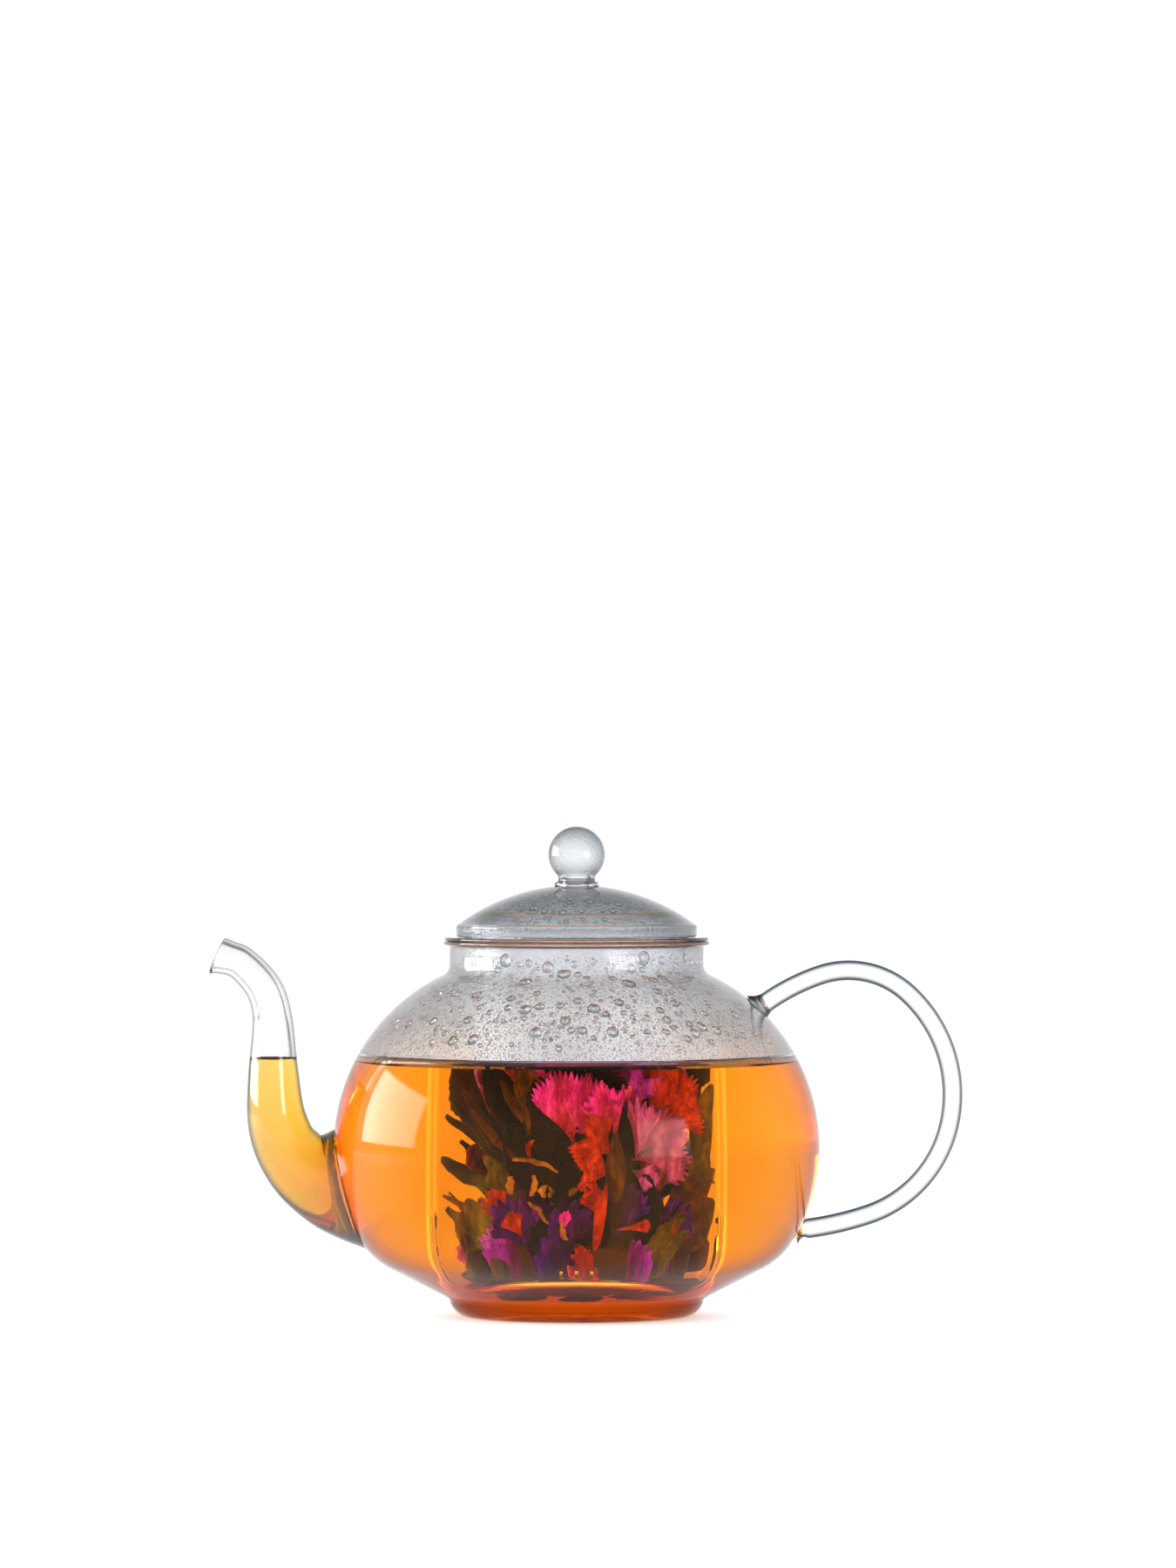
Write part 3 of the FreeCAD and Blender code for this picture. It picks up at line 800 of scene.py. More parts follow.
def wall_point(height, angle):
    """A point on the pot's inner face, the normal into the hollow, and the way down the wall."""
    radius = outer_radius(height) - WALL
    lower = outer_radius(height - 0.2) - WALL
    out = Vector((math.cos(angle), math.sin(angle), 0))
    down = (out * (lower - radius) + Vector((0, 0, -0.2))).normalized()
    around = Vector((-out.y, out.x, 0))
    normal = down.cross(around).normalized()
    if normal.dot(out) > 0:
        normal = -normal
    return out * radius + Vector((0, 0, height)), normal, down


def dome_point(radius, angle):
    """A point on the lid's underside, the normal into its hollow, and the way down."""
    bend = 59.2 - 1.8
    out = Vector((math.cos(angle), math.sin(angle), 0))
    place = out * radius + Vector((0, 0, dome_height(radius, 1.8)))
    normal = -(out * radius + Vector((0, 0, math.sqrt(bend ** 2 - radius ** 2)))).normalized()
    down = (Vector((0, 0, -1)) - normal * -normal.z).normalized()
    return place, normal, down


def scatter(chance, count, spread, radii, spacing, shape, choose):
    """Drops of random size, kept apart on a coarse grid; choose gives place, normal and down."""
    verts, faces, taken = [], [], {}
    tries = 0
    made = 0
    while made < count and tries < count * 6:
        tries += 1
        radius = radii[0] + (radii[1] - radii[0]) * chance.random() ** 2.4
        place, normal, down = choose(chance)
        key = (round(place.x / spread), round(place.y / spread), round(place.z / spread))
        near = [taken.get((key[0] + i, key[1] + j, key[2] + k), ())
                for i in (-1, 0, 1) for j in (-1, 0, 1) for k in (-1, 0, 1)]
        if any((place - other).length < (radius + size) * spacing for cell in near for other, size in cell):
            continue
        taken.setdefault(key, []).append((place, radius))
        add_drop(verts, faces, place, normal, down, radius, radius * chance.uniform(0.42, 0.62), *shape)
        made += 1
    return verts, faces


def make_drops():
    chance = random.Random(11)

    def shoulder(chance, low=TEA_LEVEL + 5, high=RIM_TOP - 4):
        height = low + (high - low) * chance.random() ** 0.8
        return wall_point(height, chance.uniform(0, TAU))

    def near_tea(chance):
        return wall_point(TEA_LEVEL + 2.2 + 13 * chance.random() ** 1.5, chance.uniform(0, TAU))

    def under_lid(chance):
        return dome_point(27.4 * math.sqrt(chance.uniform(0.03, 1.0)), chance.uniform(0, TAU))

    def lid_edge(chance):
        return dome_point(chance.uniform(30.0, 32.6), chance.uniform(0, TAU))

    groups = [
        ("pot_drops_large", "pot", 620, 5.0, (0.7, 2.3), 1.05, (10, 3), shoulder),
        ("pot_drops_fine", "pot", 4200, 1.8, (0.28, 0.75), 1.05, (6, 1), shoulder),
        ("pot_drops_tea_line", "pot", 3600, 1.5, (0.24, 0.62), 1.05, (6, 1), near_tea),
        ("lid_drops_large", "lid", 300, 4.0, (0.6, 1.9), 1.05, (10, 3), under_lid),
        ("lid_drops_fine", "lid", 1500, 1.8, (0.26, 0.65), 1.05, (6, 1), under_lid),
        ("lid_drops_edge", "lid", 160, 3.0, (0.4, 1.0), 1.05, (8, 2), lid_edge),
    ]
    for name, body, count, spread, radii, spacing, shape, choose in groups:
        verts, faces = scatter(chance, count, spread, radii, spacing, shape, choose)
        mesh_piece(name, verts, faces, [droplet_water], body)


# ---------------------------------------------------------------- the flower

def plant_skin(name, dark, mid, light, glow, strength, grain=380.0):
    """Wet petal or leaf: streaked colour and veins, with a painted glow, an emission standing in for light
    coming through it, faded towards the flower's axis as painted shade in its recesses.
    """
    material, nodes, links, shader = new_material(name)
    streaks = scaled_noise(nodes, links, grain, 5.0, 0.7, (1, 1, 0.4))
    colour = ramp(nodes, [(0.30, dark), (0.50, mid), (0.72, light)])
    links.new(streaks.outputs["Fac"], colour.inputs["Fac"])
    links.new(colour.outputs["Color"], shader.inputs["Base Color"])
    where = nodes.new("ShaderNodeTexCoord")
    flat = nodes.new("ShaderNodeVectorMath")
    flat.operation = "MULTIPLY"
    flat.inputs[1].default_value = (1, 1, 0)
    links.new(where.outputs["Object"], flat.inputs[0])
    reach = nodes.new("ShaderNodeVectorMath")
    reach.operation = "LENGTH"
    links.new(flat.outputs["Vector"], reach.inputs[0])
    # Painted shade: the glow fades towards the axis, darkening the recesses.
    painted_recess_shade = nodes.new("ShaderNodeMapRange")
    painted_recess_shade.interpolation_type = "SMOOTHSTEP"
    set_inputs(painted_recess_shade, {"From Min": 0.0205, "From Max": 0.0285, "To Min": 0.03})
    links.new(reach.outputs["Value"], painted_recess_shade.inputs["Value"])
    patchy = nodes.new("ShaderNodeMath")
    patchy.operation = "MULTIPLY"
    links.new(streaks.outputs["Fac"], patchy.inputs[0])
    links.new(painted_recess_shade.outputs["Result"], patchy.inputs[1])
    # Painted light: the skin's glow, as emission.
    shine = ramp(nodes, [
        (0.10, (0, 0, 0)),
        (0.36, tuple(c * 0.12 for c in glow)),
        (0.50, tuple(c * 0.50 for c in glow)),
        (0.70, glow),
    ])
    links.new(patchy.outputs["Value"], shine.inputs["Fac"])
    links.new(shine.outputs["Color"], shader.inputs["Emission Color"])
    set_inputs(shader, {"Emission Strength": strength, "Roughness": 0.45, "Specular IOR Level": 0.2})
    veins = scaled_noise(nodes, links, grain * 5, 3.0, 0.6, (1, 1, 0.25))
    bump(nodes, links, shader, veins.outputs["Fac"], 0.6, 0.0008)
    return material


# Each skin's dark, middle and light colours, the colour of its painted glow, an emission standing in for the
# light that comes through it, and how much.
SKIN_COLOURS = {
    "petal_pink": ((0.26, 0.0, 0.07), (0.70, 0.02, 0.38), (1.0, 0.26, 0.62), (0.62, 0.02, 1.0), 1.75),
    "petal_violet": ((0.06, 0.0, 0.14), (0.26, 0.01, 0.46), (0.62, 0.14, 0.86), (0.26, 0.01, 1.0), 1.75),
    "petal_lilac": ((0.16, 0.01, 0.18), (0.42, 0.05, 0.46), (0.74, 0.28, 0.78), (0.40, 0.07, 1.0), 1.35),
    "petal_coral": ((0.12, 0.002, 0.0), (0.48, 0.02, 0.006), (0.92, 0.16, 0.03), (1.0, 0.06, 0.02), 0.46),
    "petal_plum": ((0.004, 0.0, 0.02), (0.03, 0.002, 0.07), (0.17, 0.015, 0.26), (0.14, 0.006, 1.0), 0.62),
    "leaf_dark": ((0.0, 0.001, 0.002), (0.004, 0.005, 0.008), (0.022, 0.016, 0.022), (0.03, 0.03, 0.14), 0.10),
    "leaf_maroon": ((0.004, 0.001, 0.004), (0.02, 0.004, 0.010), (0.12, 0.02, 0.03), (0.24, 0.04, 0.08), 0.18),
    # heart: the flower's real core, coloured near-black as painted shade for the gaps between petals.
    "heart": ((0.0, 0.001, 0.001), (0.002, 0.003, 0.003), (0.008, 0.006, 0.008), (0.0, 0.0, 0.0), 0.0),
    "leaf_brown": ((0.008, 0.003, 0.002), (0.04, 0.012, 0.004), (0.22, 0.07, 0.012), (0.44, 0.12, 0.02), 0.22),
    "leaf_olive": ((0.012, 0.009, 0.002), (0.07, 0.042, 0.006), (0.28, 0.16, 0.015), (0.50, 0.30, 0.02), 0.30),
    "calyx_gold": ((0.10, 0.03, 0.005), (0.48, 0.17, 0.02), (0.95, 0.50, 0.09), (0.9, 0.40, 0.06), 0.30),
}
SKINS = {name: plant_skin(name, *colours) for name, colours in SKIN_COLOURS.items()}


def frame_for(base, tip, facing):
    along = tip - base
    length = along.length
    along.normalize()
    across = facing.cross(along).normalized()
    return along, across, along.cross(across).normalized(), length


def thin_sheet(store, grid, thickness):
    """Give a grid of points a thickness and close its rim."""
    verts, faces = store
    rows, cols = len(grid), len(grid[0])
    first = len(verts)
    for side in (0.5, -0.5):
        for r in range(rows):
            for c in range(cols):
                along = grid[min(r + 1, rows - 1)][c] - grid[max(r - 1, 0)][c]
                across = grid[r][min(c + 1, cols - 1)] - grid[r][max(c - 1, 0)]
                normal = across.cross(along)
                normal = normal.normalized() if normal.length > 1e-9 else Vector((0, 0, 1))
                verts.append(grid[r][c] + normal * thickness * side)
    back = rows * cols

    def at(r, c, layer=0):
        return first + layer * back + r * cols + c

    for r in range(rows - 1):
        for c in range(cols - 1):
            faces.append([at(r, c), at(r, c + 1), at(r + 1, c + 1), at(r + 1, c)])
            faces.append([at(r, c, 1), at(r + 1, c, 1), at(r + 1, c + 1, 1), at(r, c + 1, 1)])
    rim = [(0, c) for c in range(cols)] + [(r, cols - 1) for r in range(1, rows)]
    rim += [(rows - 1, c) for c in range(cols - 2, -1, -1)] + [(r, 0) for r in range(rows - 2, 0, -1)]
    for here, there in zip(rim, rim[1:] + rim[:1]):
        faces.append([at(*here), at(*here, 1), at(*there, 1), at(*there)])


def kept_inside(point):
    """Press a point back inside the infuser's wall, and between its floor and the tea's top."""
    radius = math.hypot(point.x, point.y)
    if radius > INFUSER_BORE:
        point = Vector((point.x * INFUSER_BORE / radius, point.y * INFUSER_BORE / radius, point.z))
    floor = INFUSER_BOTTOM + INFUSER_WALL + 6.3 - INFUSER_KICK * min(1.0, (radius / INFUSER_RING) ** 2)
    past_corner = min(radius, INFUSER_BORE) - (INFUSER_RADIUS - INFUSER_CORNER)
    if past_corner > 0:
        bend = INFUSER_CORNER - INFUSER_WALL
        floor = max(floor, INFUSER_BOTTOM + INFUSER_CORNER - math.sqrt(bend ** 2 - past_corner ** 2) + 0.3)
    return Vector((point.x, point.y, min(max(point.z, floor), TEA_LEVEL - 0.9)))


def petal(store, base, tip, facing, fan, ruffle, teeth, seed, cup=0.15):
    """A carnation petal: a fan from a narrow claw, ruffled, with a toothed outer edge."""
    along, across, normal, length = frame_for(Vector(base), Vector(tip), Vector(facing))
    chance = random.Random(seed)
    waves = chance.uniform(2.2, 3.6)
    phase = chance.uniform(0, TAU)
    rows, cols = 14, 84
    cuts = [chance.uniform(0.25, 1.0) for _ in range(teeth + 1)]
    grid = []
    for r in range(rows):
        v = r / (rows - 1)
        line = []
        for c in range(cols):
            u = 2 * c / (cols - 1) - 1
            angle = math.radians(fan) / 2 * u * (0.35 + 0.65 * v)
            tooth = abs(((u + 1) / 2 * teeth) % 1 - 0.5) * 2
            depth = 0.24 * cuts[int((u + 1) / 2 * teeth * 0.999)]
            uneven = 1 + 0.10 * noise.noise(Vector((u * 3.1, seed * 1.9, 4.0)))
            reach = length * v * uneven * (1 - depth * tooth * v ** 6) * (1 - 0.16 * abs(u) ** 3)
            lift = ruffle * v ** 1.7 * math.sin(waves * angle * 3 + phase)
            lift += ruffle * 0.5 * v * noise.noise(Vector((u * 2.2, v * 2.2, seed * 3.7)))
            lift -= cup * length * v * v
            point = Vector(base) + along * reach * math.cos(angle)
            point = point + across * reach * math.sin(angle) + normal * lift
            line.append(kept_inside(point))
        grid.append(line)
    thin_sheet(store, grid, 0.32)


def leaf(store, base, tip, facing, width, curl, fold, seed, serration=0.10):
    """A soaked tea leaf: a blade folded along its rib, curled, with a saw-toothed margin."""
    along, across, normal, length = frame_for(Vector(base), Vector(tip), Vector(facing))
    chance = random.Random(seed)
    twist = chance.uniform(-0.9, 0.9)
    rows, cols = 30, 9
    grid = []
    for r in range(rows):
        v = r / (rows - 1)
        saw = (v * 11) % 1
        blade = width / 2 * math.sin(math.pi * min(1.0, 0.04 + 0.95 * v)) ** 0.75 * (1 - serration * saw)
        line = []
        for c in range(cols):
            u = 2 * c / (cols - 1) - 1
            turn = twist * v
            out = across * math.cos(turn) + normal * math.sin(turn)
            lift = normal * (curl * length * v * v + fold * abs(u) * blade)
            wobble = 0.9 * noise.noise(Vector((u * 1.5, v * 4.0, seed * 2.3)))
            point = Vector(base) + along * length * v + out * blade * u + lift + normal * wobble
            line.append(kept_inside(point))
        grid.append(line)
    thin_sheet(store, grid, 0.34)


def needle(store, base, tip, facing, radius, bend, seed):
    """A rolled dry leaf: a flattened, tapering, slightly crooked stalk."""
    verts, faces = store
    base, tip = Vector(base), Vector(tip)
    along, across, normal, length = frame_for(base, tip, Vector(facing))
    steps, segments = 12, 8
    rings = []
    for r in range(steps):
        v = r / (steps - 1)
        shape = radius * (0.35 + 0.9 * math.sin(math.pi * (0.12 + 0.80 * v)))
        centre = base.lerp(tip, v) + across * bend * math.sin(math.pi * v)
        centre += across * 0.5 * noise.noise(Vector((v * 5, seed, 0.3)))
        first = len(verts)
        rings.append(list(range(first, first + segments)))
        for i in range(segments):
            angle = TAU * i / segments + 1.5 * v
            rough = 1 + 0.25 * noise.noise(Vector((math.cos(angle), v * 7, seed)))
            verts.append(kept_inside(
                centre + (across * math.cos(angle) + normal * math.sin(angle) * 0.55) * shape * rough))
    faces += bridge(rings)
    faces.append(rings[0][::-1])
    faces.append(rings[-1])


FRONT = Vector((0.05, -1, 0.12))

# Pieces that face the front, listed one by one: kind and skin, then each one's base and tip as (x, z, distance
# from the axis) and the shape's own numbers: fan, ruffle, teeth; width, curl, fold; or radius, bend.
HEROES = [
    ("petal", "petal_pink", [
        ((-0.6, 51.5, 22), (-4.9, 68.5, 29.5), 70, 1.8, 17),
        ((3.3, 51.5, 21), (2.7, 66.0, 28.5), 62, 2.2, 13),
        ((9.9, 53.5, 22), (5.1, 63.6, 30.0), 96, 2.0, 15),
    ]),
    ("petal", "petal_violet", [((9.3, 55.9, 20), (12.5, 71.0, 27.5), 92, 1.0, 4)]),
    ("petal", "petal_coral", [
        ((17.8, 56.4, 22), (24.9, 69.0, 28.5), 84, 2.0, 17),
        ((19.4, 54.4, 23), (28.2, 62.1, 30.0), 88, 2.0, 15),
        ((17.3, 58.3, 23), (21.9, 66.0, 30.0), 70, 1.6, 13),
        ((8.8, 49.6, 24), (2.0, 54.9, 30.4), 104, 1.8, 21),
        ((8.2, 45.3, 24), (1.8, 47.2, 30.4), 96, 1.8, 19),
        ((7.7, 39.9, 24), (2.7, 40.9, 30.0), 86, 1.6, 15),
    ]),
    ("petal", "petal_lilac", [
        ((14.3, 47.7, 25), (17.1, 61.7, 30.6), 42, 1.2, 5),
        ((13.5, 48.2, 25), (27.8, 50.1, 31.0), 62, 1.6, 13),
        ((14.1, 49.6, 24), (25.9, 57.3, 30.4), 56, 1.4, 9),
        ((13.6, 45.7, 25), (19.4, 43.4, 30.6), 74, 1.4, 9),
    ]),
    ("petal", "petal_plum", [
        ((9.9, 30.3, 23), (14.1, 41.9, 29.0), 66, 1.6, 7),
        ((18.3, 25.5, 22), (23.9, 39.9, 29.5), 72, 1.8, 8),
        ((-9.9, 25.5, 23), (-16.2, 39.5, 29.5), 84, 1.8, 9),
        ((-3.3, 24.5, 23), (-3.3, 39.0, 29.5), 90, 1.8, 7),
    ]),
    ("petal", "petal_violet", [((-13.1, 24.5, 24), (-21.9, 33.2, 30.0), 70, 1.6, 9)]),
    ("petal", "petal_plum", [((2.2, 22.6, 24), (-9.9, 27.9, 30.0), 80, 1.5, 7)]),
    ("petal", "petal_coral", [((8.8, 22.6, 25), (-1.1, 25.0, 30.0), 60, 1.2, 9)]),
    ("petal", "petal_violet", [((11.0, 23.1, 24), (18.3, 27.4, 30.0), 84, 1.4, 7)]),
    ("petal", "petal_coral", [
        ((-16.2, 35.1, 25), (-21.9, 40.4, 29.8), 80, 1.4, 9),
        ((-13.1, 30.3, 26), (-16.8, 35.6, 30.2), 60, 1.2, 9),
    ]),
    ("petal", "petal_pink", [((-4.0, 30.3, 27), (-2.7, 35.7, 30.4), 34, 0.8, 4)]),
    ("petal", "petal_coral", [
        ((17.3, 29.3, 25), (24.9, 32.7, 30.2), 34, 0.8, 6),
        ((9.9, 32.2, 26), (19.9, 33.7, 30.2), 22, 0.6, 6),
    ]),
    ("leaf", "leaf_dark", [((-13.1, 53.5, 23), (-23.0, 71.5, 29.0), 9, 0.05, 0.35)]),
    ("leaf", "leaf_brown", [((-8.8, 56.5, 23), (-14.7, 72.5, 28.0), 8, 0.05, 0.4)]),
    ("leaf", "leaf_dark", [
        ((-4.4, 47.7, 22), (-9.9, 68.0, 26.5), 13, 0.02, 0.25),
        ((-6.6, 39.9, 22), (-16.8, 56.4, 27.5), 13, -0.05, 0.3),
        ((5.5, 61.2, 20), (3.3, 72.0, 23.0), 18, 0.0, 0.1),
    ]),
    ("leaf", "leaf_brown", [((9.4, 38.5, 25), (9.9, 54.9, 29.5), 5.6, 0.02, 0.4)]),
    ("leaf", "petal_coral", [((4.4, 26.0, 28), (7.5, 42.8, 30.6), 2.6, 0.02, 0.2)]),
    ("leaf", "leaf_olive", [
        ((28.4, 47.2, 29), (31.0, 63.6, 30.8), 7.5, 0.03, 0.35),
        ((27.4, 42.8, 28), (30.2, 51.5, 30.8), 6, 0.03, 0.35),
    ]),
    ("leaf", "leaf_brown", [
        ((22.4, 35.1, 27), (31.0, 45.3, 31.0), 9, 0.03, 0.3),
        ((23.4, 27.4, 27), (31.0, 39.0, 31.0), 10, 0.03, 0.3),
    ]),
    ("leaf", "leaf_olive", [((17.3, 24.5, 27), (27.2, 35.1, 31.0), 7.5, -0.1, 0.5)]),
    ("leaf", "leaf_brown", [((18.3, 23.5, 27), (29.9, 22.1, 31.0), 6, 0.02, 0.4)]),
    ("leaf", "leaf_olive", [((-17.3, 24.5, 26), (-26.4, 39.0, 30.0), 8.5, 0.03, 0.35)]),
    ("leaf", "leaf_brown", [((-11.0, 23.1, 27), (-22.9, 22.6, 30.0), 4.5, 0.02, 0.4)]),
    ("leaf", "leaf_olive", [
        ((-15.7, 46.2, 27), (-21.9, 42.4, 30.0), 6.5, -0.15, 0.5),
        ((-17.8, 43.3, 28), (-22.4, 49.6, 30.4), 3.6, -0.45, 0.5),
    ]),
    ("leaf", "leaf_dark", [
        ((23.4, 65.0, 24), (30.4, 71.0, 30.5), 11, 0.0, 0.2),
        ((13.1, 28.4, 24), (17.3, 44.8, 28.0), 13, 0.0, 0.2),
        ((-6.6, 24.5, 23), (-5.5, 38.0, 27.5), 13, 0.0, 0.2),
    ]),
    ("leaf", "leaf_maroon", [((-16.8, 46.7, 27), (-27.0, 63.6, 30.2), 3.4, 0.02, 0.3)]),
    ("needle", "leaf_dark", [
        ((-16.2, 47.7, 28), (-29.8, 61.7, 31.2), 0.95, 0.6),
        ((-16.8, 46.7, 28), (-30.4, 57.3, 31.2), 1.05, -0.6),
    ]),
    ("needle", "leaf_brown", [((-15.2, 48.6, 28), (-25.4, 59.7, 30.8), 0.8, 0.5)]),
    ("needle", "leaf_dark", [((-20.9, 41.9, 29), (-31.0, 47.7, 31.3), 1.5, 0.2)]),
    ("needle", "calyx_gold", [((-15.8, 48.2, 29.6), (-4.7, 45.4, 30.4), 0.5, 1.0)]),
    ("needle", "leaf_brown", [
        ((-13.1, 57.3, 28.5), (-18.3, 67.0, 29.0), 0.9, 0.6),
        ((-11.5, 54.4, 29), (-14.1, 63.1, 29.5), 0.6, -0.5),
    ]),
    ("needle", "petal_coral", [((-11.8, 49.2, 29.8), (-10.7, 53.1, 30.4), 0.55, 0.8)]),
    ("needle", "leaf_brown", [((26.9, 43.8, 29), (32.3, 42.8, 31.3), 0.45, 0.2)]),
    ("needle", "calyx_gold", [
        ((-16.2, 40.4, 29.8), (-16.0, 44.4, 30.4), 0.85, 0.5),
        ((-11.4, 39.9, 30), (-10.7, 44.8, 30.4), 0.65, -0.5),
        ((-8.2, 39.6, 30), (-7.7, 42.5, 30.6), 0.75, 0.6),
        ((-6.8, 39.6, 30), (-6.6, 42.1, 30.6), 0.45, -0.4),
        ((-1.8, 39.9, 30), (0.2, 41.5, 30.4), 0.6, 0.3),
        ((-12.0, 38.5, 30), (-7.3, 33.2, 30.6), 0.45, 0.6),
        ((-2.5, 29.3, 30), (-3.8, 34.2, 30.6), 0.55, 0.5),
    ]),
]


# The heart's outline: height and radius.
HEART = [(30.2, 4), (29.2, 12), (30, 17), (38, 19.5), (47, 19), (58, 18), (67, 17), (73.5, 13), (74.6, 5)]


def at_front(place):
    """A hero's end: x, height and distance from the axis, on the front side."""
    across, height, reach = place
    return Vector((across, -math.sqrt(max(reach ** 2 - across ** 2, 4.0)), height))


def make_flower():
    """The opened flower: the front pieces as listed, then a seeded ring of others all round."""
    stores = {skin: ([], []) for skin in SKINS}
    placed = [(kind, skin, *row) for kind, skin, rows in HEROES for row in rows]
    for seed, (kind, skin, base, tip, *numbers) in enumerate(placed):
        make = {"petal": petal, "leaf": leaf, "needle": needle}[kind]
        make(stores[skin], at_front(base), at_front(tip), FRONT, *numbers, seed)
    chance = random.Random(5)
    levels = [
        (26, 38, 15, 29, -38, 240, ("petal_plum", "petal_violet", "leaf_olive", "leaf_brown", "petal_coral")),
        (36, 53, 13, 29, -34, 176, ("petal_coral", "petal_lilac", "leaf_dark", "leaf_olive")),
        (50, 74, 16, 29, -40, 236, ("petal_pink", "petal_coral", "leaf_dark", "petal_lilac", "leaf_maroon")),
        (28, 42, 9, 23, 200, 340, ("leaf_dark", "petal_plum", "leaf_dark")),
        (44, 66, 9, 22, 190, 345, ("leaf_dark", "leaf_maroon", "leaf_dark")),
    ]
    seed = 100
    for low, high, count, room, first, last, skins in levels:
        for number in range(count):
            seed += 1
            turn = math.radians(first + (last - first) * (number + chance.uniform(-0.3, 0.3)) / count)
            out = Vector((math.cos(turn), math.sin(turn), 0))
            facing = out + Vector((0, 0, 0.2))
            sideways = Vector((-out.y, out.x, 0)) * chance.uniform(-7, 7)
            base = out * chance.uniform(16, 20) + Vector((0, 0, low + chance.uniform(0, 5)))
            tip = out * (room - chance.uniform(0, 4)) + sideways + Vector((0, 0, high - chance.uniform(0, 6)))
            skin = skins[number % len(skins)]
            if skin.startswith("petal"):
                teeth = chance.choice((7, 15, 19))
                petal(stores[skin], base, tip, facing, chance.uniform(60, 92), 2.2, teeth, seed)
            else:
                leaf(stores[skin], base, tip, facing, chance.uniform(8, 14), 0.04, 0.3, seed)
    for number in range(14):
        seed += 1
        turn = math.radians(-20 + 220 * number / 14 + chance.uniform(-6, 6))
        out = Vector((math.cos(turn), math.sin(turn), 0))
        base = out * 21 + Vector((0, 0, chance.uniform(28, 52)))
        tip = out * 30 + Vector((-out.y, out.x, 0)) * chance.uniform(-6, 6)
        tip = tip + Vector((0, 0, base.z + chance.uniform(2, 16)))
        skin = "leaf_brown" if number % 2 else "leaf_dark"
        needle(stores[skin], base, tip, out, chance.uniform(0.6, 1.4), 0.6, seed)
    for skin, (verts, faces) in stores.items():
        if verts:
            mesh_piece("flower_" + skin, verts, faces, [SKINS[skin]], "infuser")
    # The heart: the flower's core, near-black as painted shade between the petals.
    verts = []
    segments = 40
    rings = []
    for height, radius in HEART:
        rings.append(list(range(len(verts), len(verts) + segments)))
        for i in range(segments):
            angle = TAU * i / segments
            at = Vector((math.cos(angle) * 1.6, math.sin(angle) * 1.6, height * 0.09))
            bumpy = 1 + 0.14 * noise.noise(at)
            verts.append((radius * bumpy * math.cos(angle), radius * bumpy * math.sin(angle), height))
    faces = bridge(rings)
    faces.append(rings[0][::-1])
    faces.append(rings[-1])
    mesh_piece("flower_heart", verts, faces, [SKINS["heart"]], "infuser")


# ---------------------------------------------------------------- stage

def make_world():
    world = bpy.data.worlds.new("studio")
    bpy.context.scene.world = world
    world.use_nodes = True
    nodes, links = world.node_tree.nodes, world.node_tree.links
    background = nodes["Background"]
    where = nodes.new("ShaderNodeTexCoord")
    split = nodes.new("ShaderNodeSeparateXYZ")
    shade = ramp(nodes, [
        (0.0, (1.0, 1.0, 1.0)),
        (0.30, (1.0, 1.0, 1.0)),
        (0.62, (0.32, 0.36, 0.40)),
        (1.0, (0.10, 0.13, 0.16)),
    ])
    links.new(where.outputs["Generated"], split.inputs["Vector"])
    links.new(split.outputs["Z"], shade.inputs["Fac"])
    links.new(shade.outputs["Color"], background.inputs["Color"])
    background.inputs["Strength"].default_value = 1.04


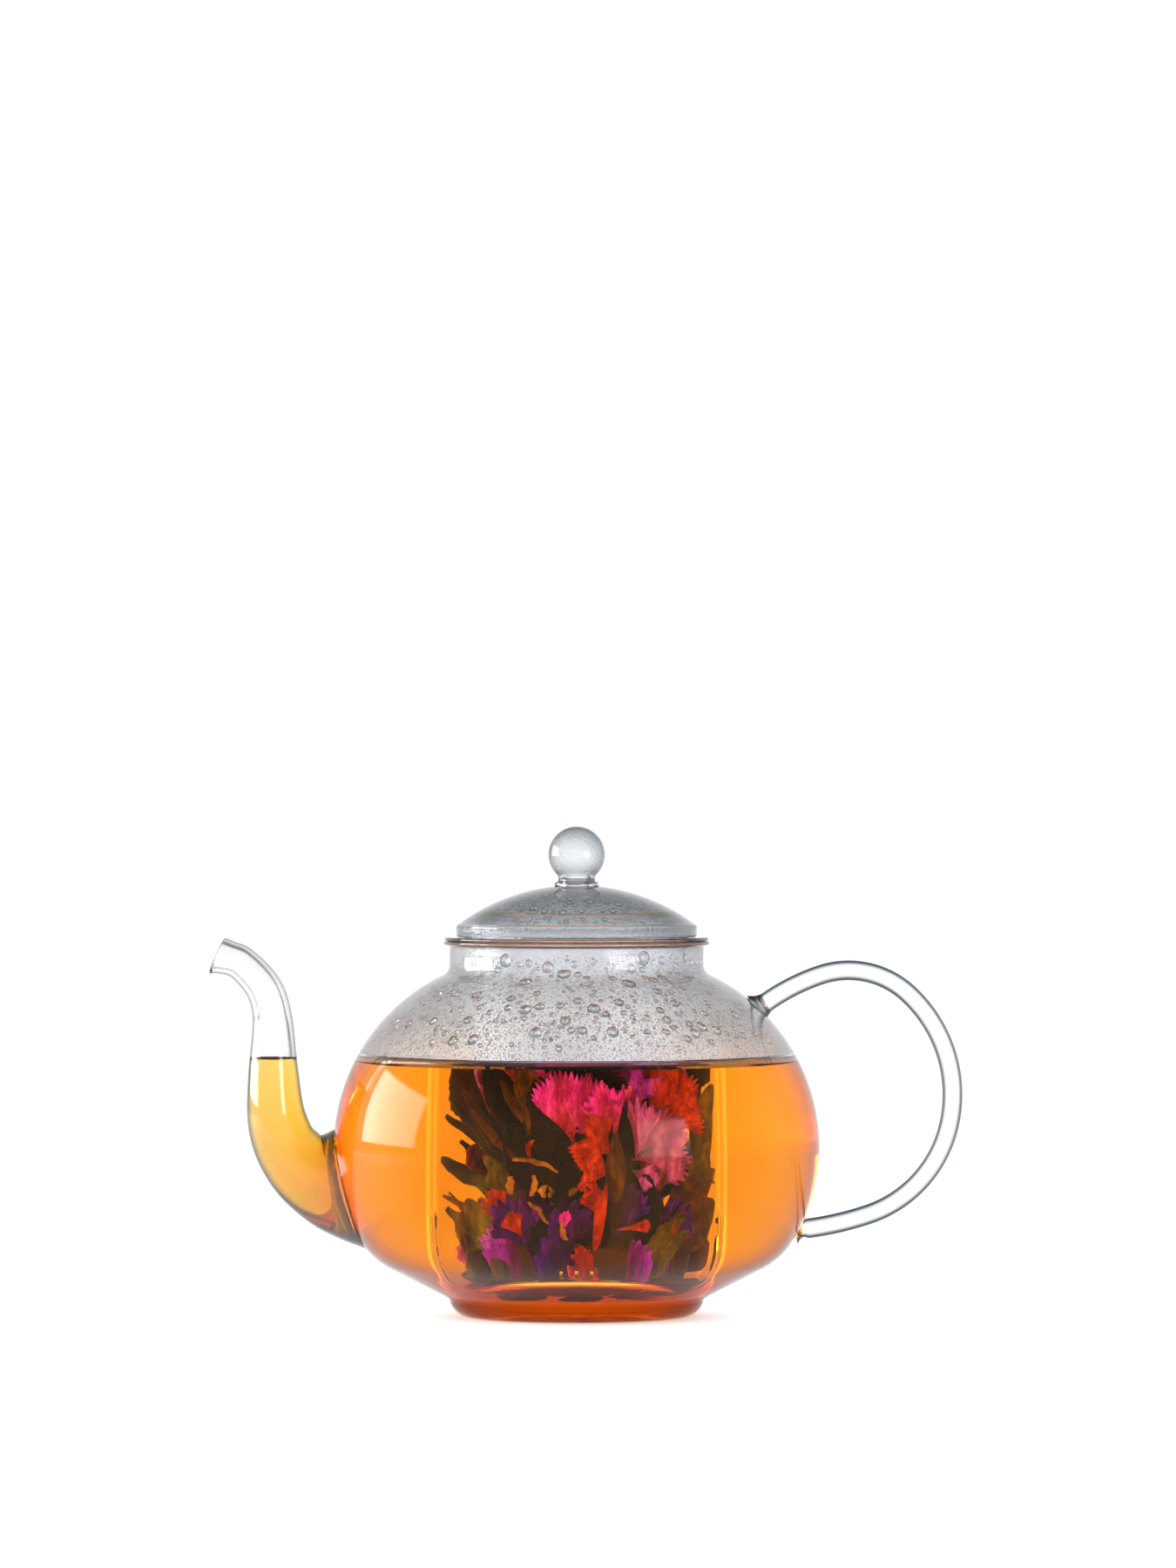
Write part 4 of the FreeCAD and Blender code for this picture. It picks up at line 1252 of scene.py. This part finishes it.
def make_floor():
    """A pale table that glows softly; near the pot's foot its glow turns dim red-orange, a painted shadow and
    a painted pool of tea-coloured light.
    """
    material, nodes, links, shader = new_material("pale_table")
    set_inputs(shader, {"Base Color": (0.36, 0.36, 0.36, 1), "Roughness": 0.6, "Specular IOR Level": 0.1})
    where = nodes.new("ShaderNodeTexCoord")
    reach = nodes.new("ShaderNodeVectorMath")
    reach.operation = "LENGTH"
    links.new(where.outputs["Object"], reach.inputs[0])
    fade = nodes.new("ShaderNodeMapRange")
    fade.interpolation_type = "SMOOTHSTEP"
    set_inputs(fade, {"From Min": 0.020, "From Max": 0.051})
    links.new(reach.outputs["Value"], fade.inputs["Value"])
    # Painted shadow and painted tea-coloured light near the pot's foot.
    glow = ramp(nodes, [
        (0.0, (0.98, 0.13, 0.015)),
        (0.20, (0.92, 0.17, 0.03)),
        (0.36, (0.80, 0.55, 0.42)),
        (1.0, (1.0, 1.0, 1.0)),
    ])
    links.new(fade.outputs["Result"], glow.inputs["Fac"])
    links.new(glow.outputs["Color"], shader.inputs["Emission Color"])
    shader.inputs["Emission Strength"].default_value = 0.88
    size = 12.0
    mesh = bpy.data.meshes.new("table")
    corners = [(-size, -size, 0), (size, -size, 0), (size, size, 0), (-size, size, 0)]
    mesh.from_pydata(corners, [], [(0, 1, 2, 3)])
    mesh.materials.append(material)
    floor = bpy.data.objects.new("table", mesh)
    floor.location.z = -0.0002
    bpy.context.scene.collection.objects.link(floor)


def softbox(name, azimuth, elevation, distance, width, height, watts, colour=(1, 1, 1)):
    """An area light on a sphere round the pot: azimuth 0 is the camera's side, +90 the handle's."""
    light = bpy.data.lights.new(name, "AREA")
    light.shape = "RECTANGLE"
    light.size, light.size_y = width, height
    light.energy = watts
    light.color = colour
    lamp = bpy.data.objects.new(name, light)
    a, e = math.radians(azimuth), math.radians(elevation)
    centre = Vector((0, 0, 0.07))
    way = Vector((math.sin(a) * math.cos(e), -math.cos(a) * math.cos(e), math.sin(e)))
    lamp.location = centre + way * distance
    lamp.rotation_euler = way.to_track_quat("Z", "Y").to_euler()
    lamp.visible_camera = False
    bpy.context.scene.collection.objects.link(lamp)
    return lamp


def make_camera():
    data = bpy.data.cameras.new("camera")
    camera = bpy.data.objects.new("camera", data)
    bpy.context.scene.collection.objects.link(camera)
    bpy.context.scene.camera = camera
    target = Vector((0.0034, 0, 0.1587))
    camera.location = Vector((0.0034, -2.6, 0.1650))
    camera.rotation_euler = (target - camera.location).to_track_quat("-Z", "Y").to_euler()
    data.sensor_fit = "VERTICAL"
    frame_height = 0.468
    data.angle = 2 * math.atan(frame_height / 2 / 2.6)
    data.clip_start = 0.05
    data.clip_end = 60
    return camera


make_camera()
make_world()
make_floor()
softbox("left_softbox", -101, 12, 1.2, 0.85, 0.50, 17)
softbox("right_softbox", 42, 3, 1.4, 0.62, 0.70, 9, (0.90, 0.76, 1.0))
bpy.context.scene.view_settings.view_transform = "Standard"
bpy.context.scene.cycles.max_bounces = 24
bpy.context.scene.cycles.transmission_bounces = 24
bpy.context.scene.cycles.transparent_max_bounces = 16

make_pot_body()
make_spout()
make_handle()
make_tea()
make_spout_tea()
make_infuser()
make_lid()
make_knob()
make_drops()
make_flower()
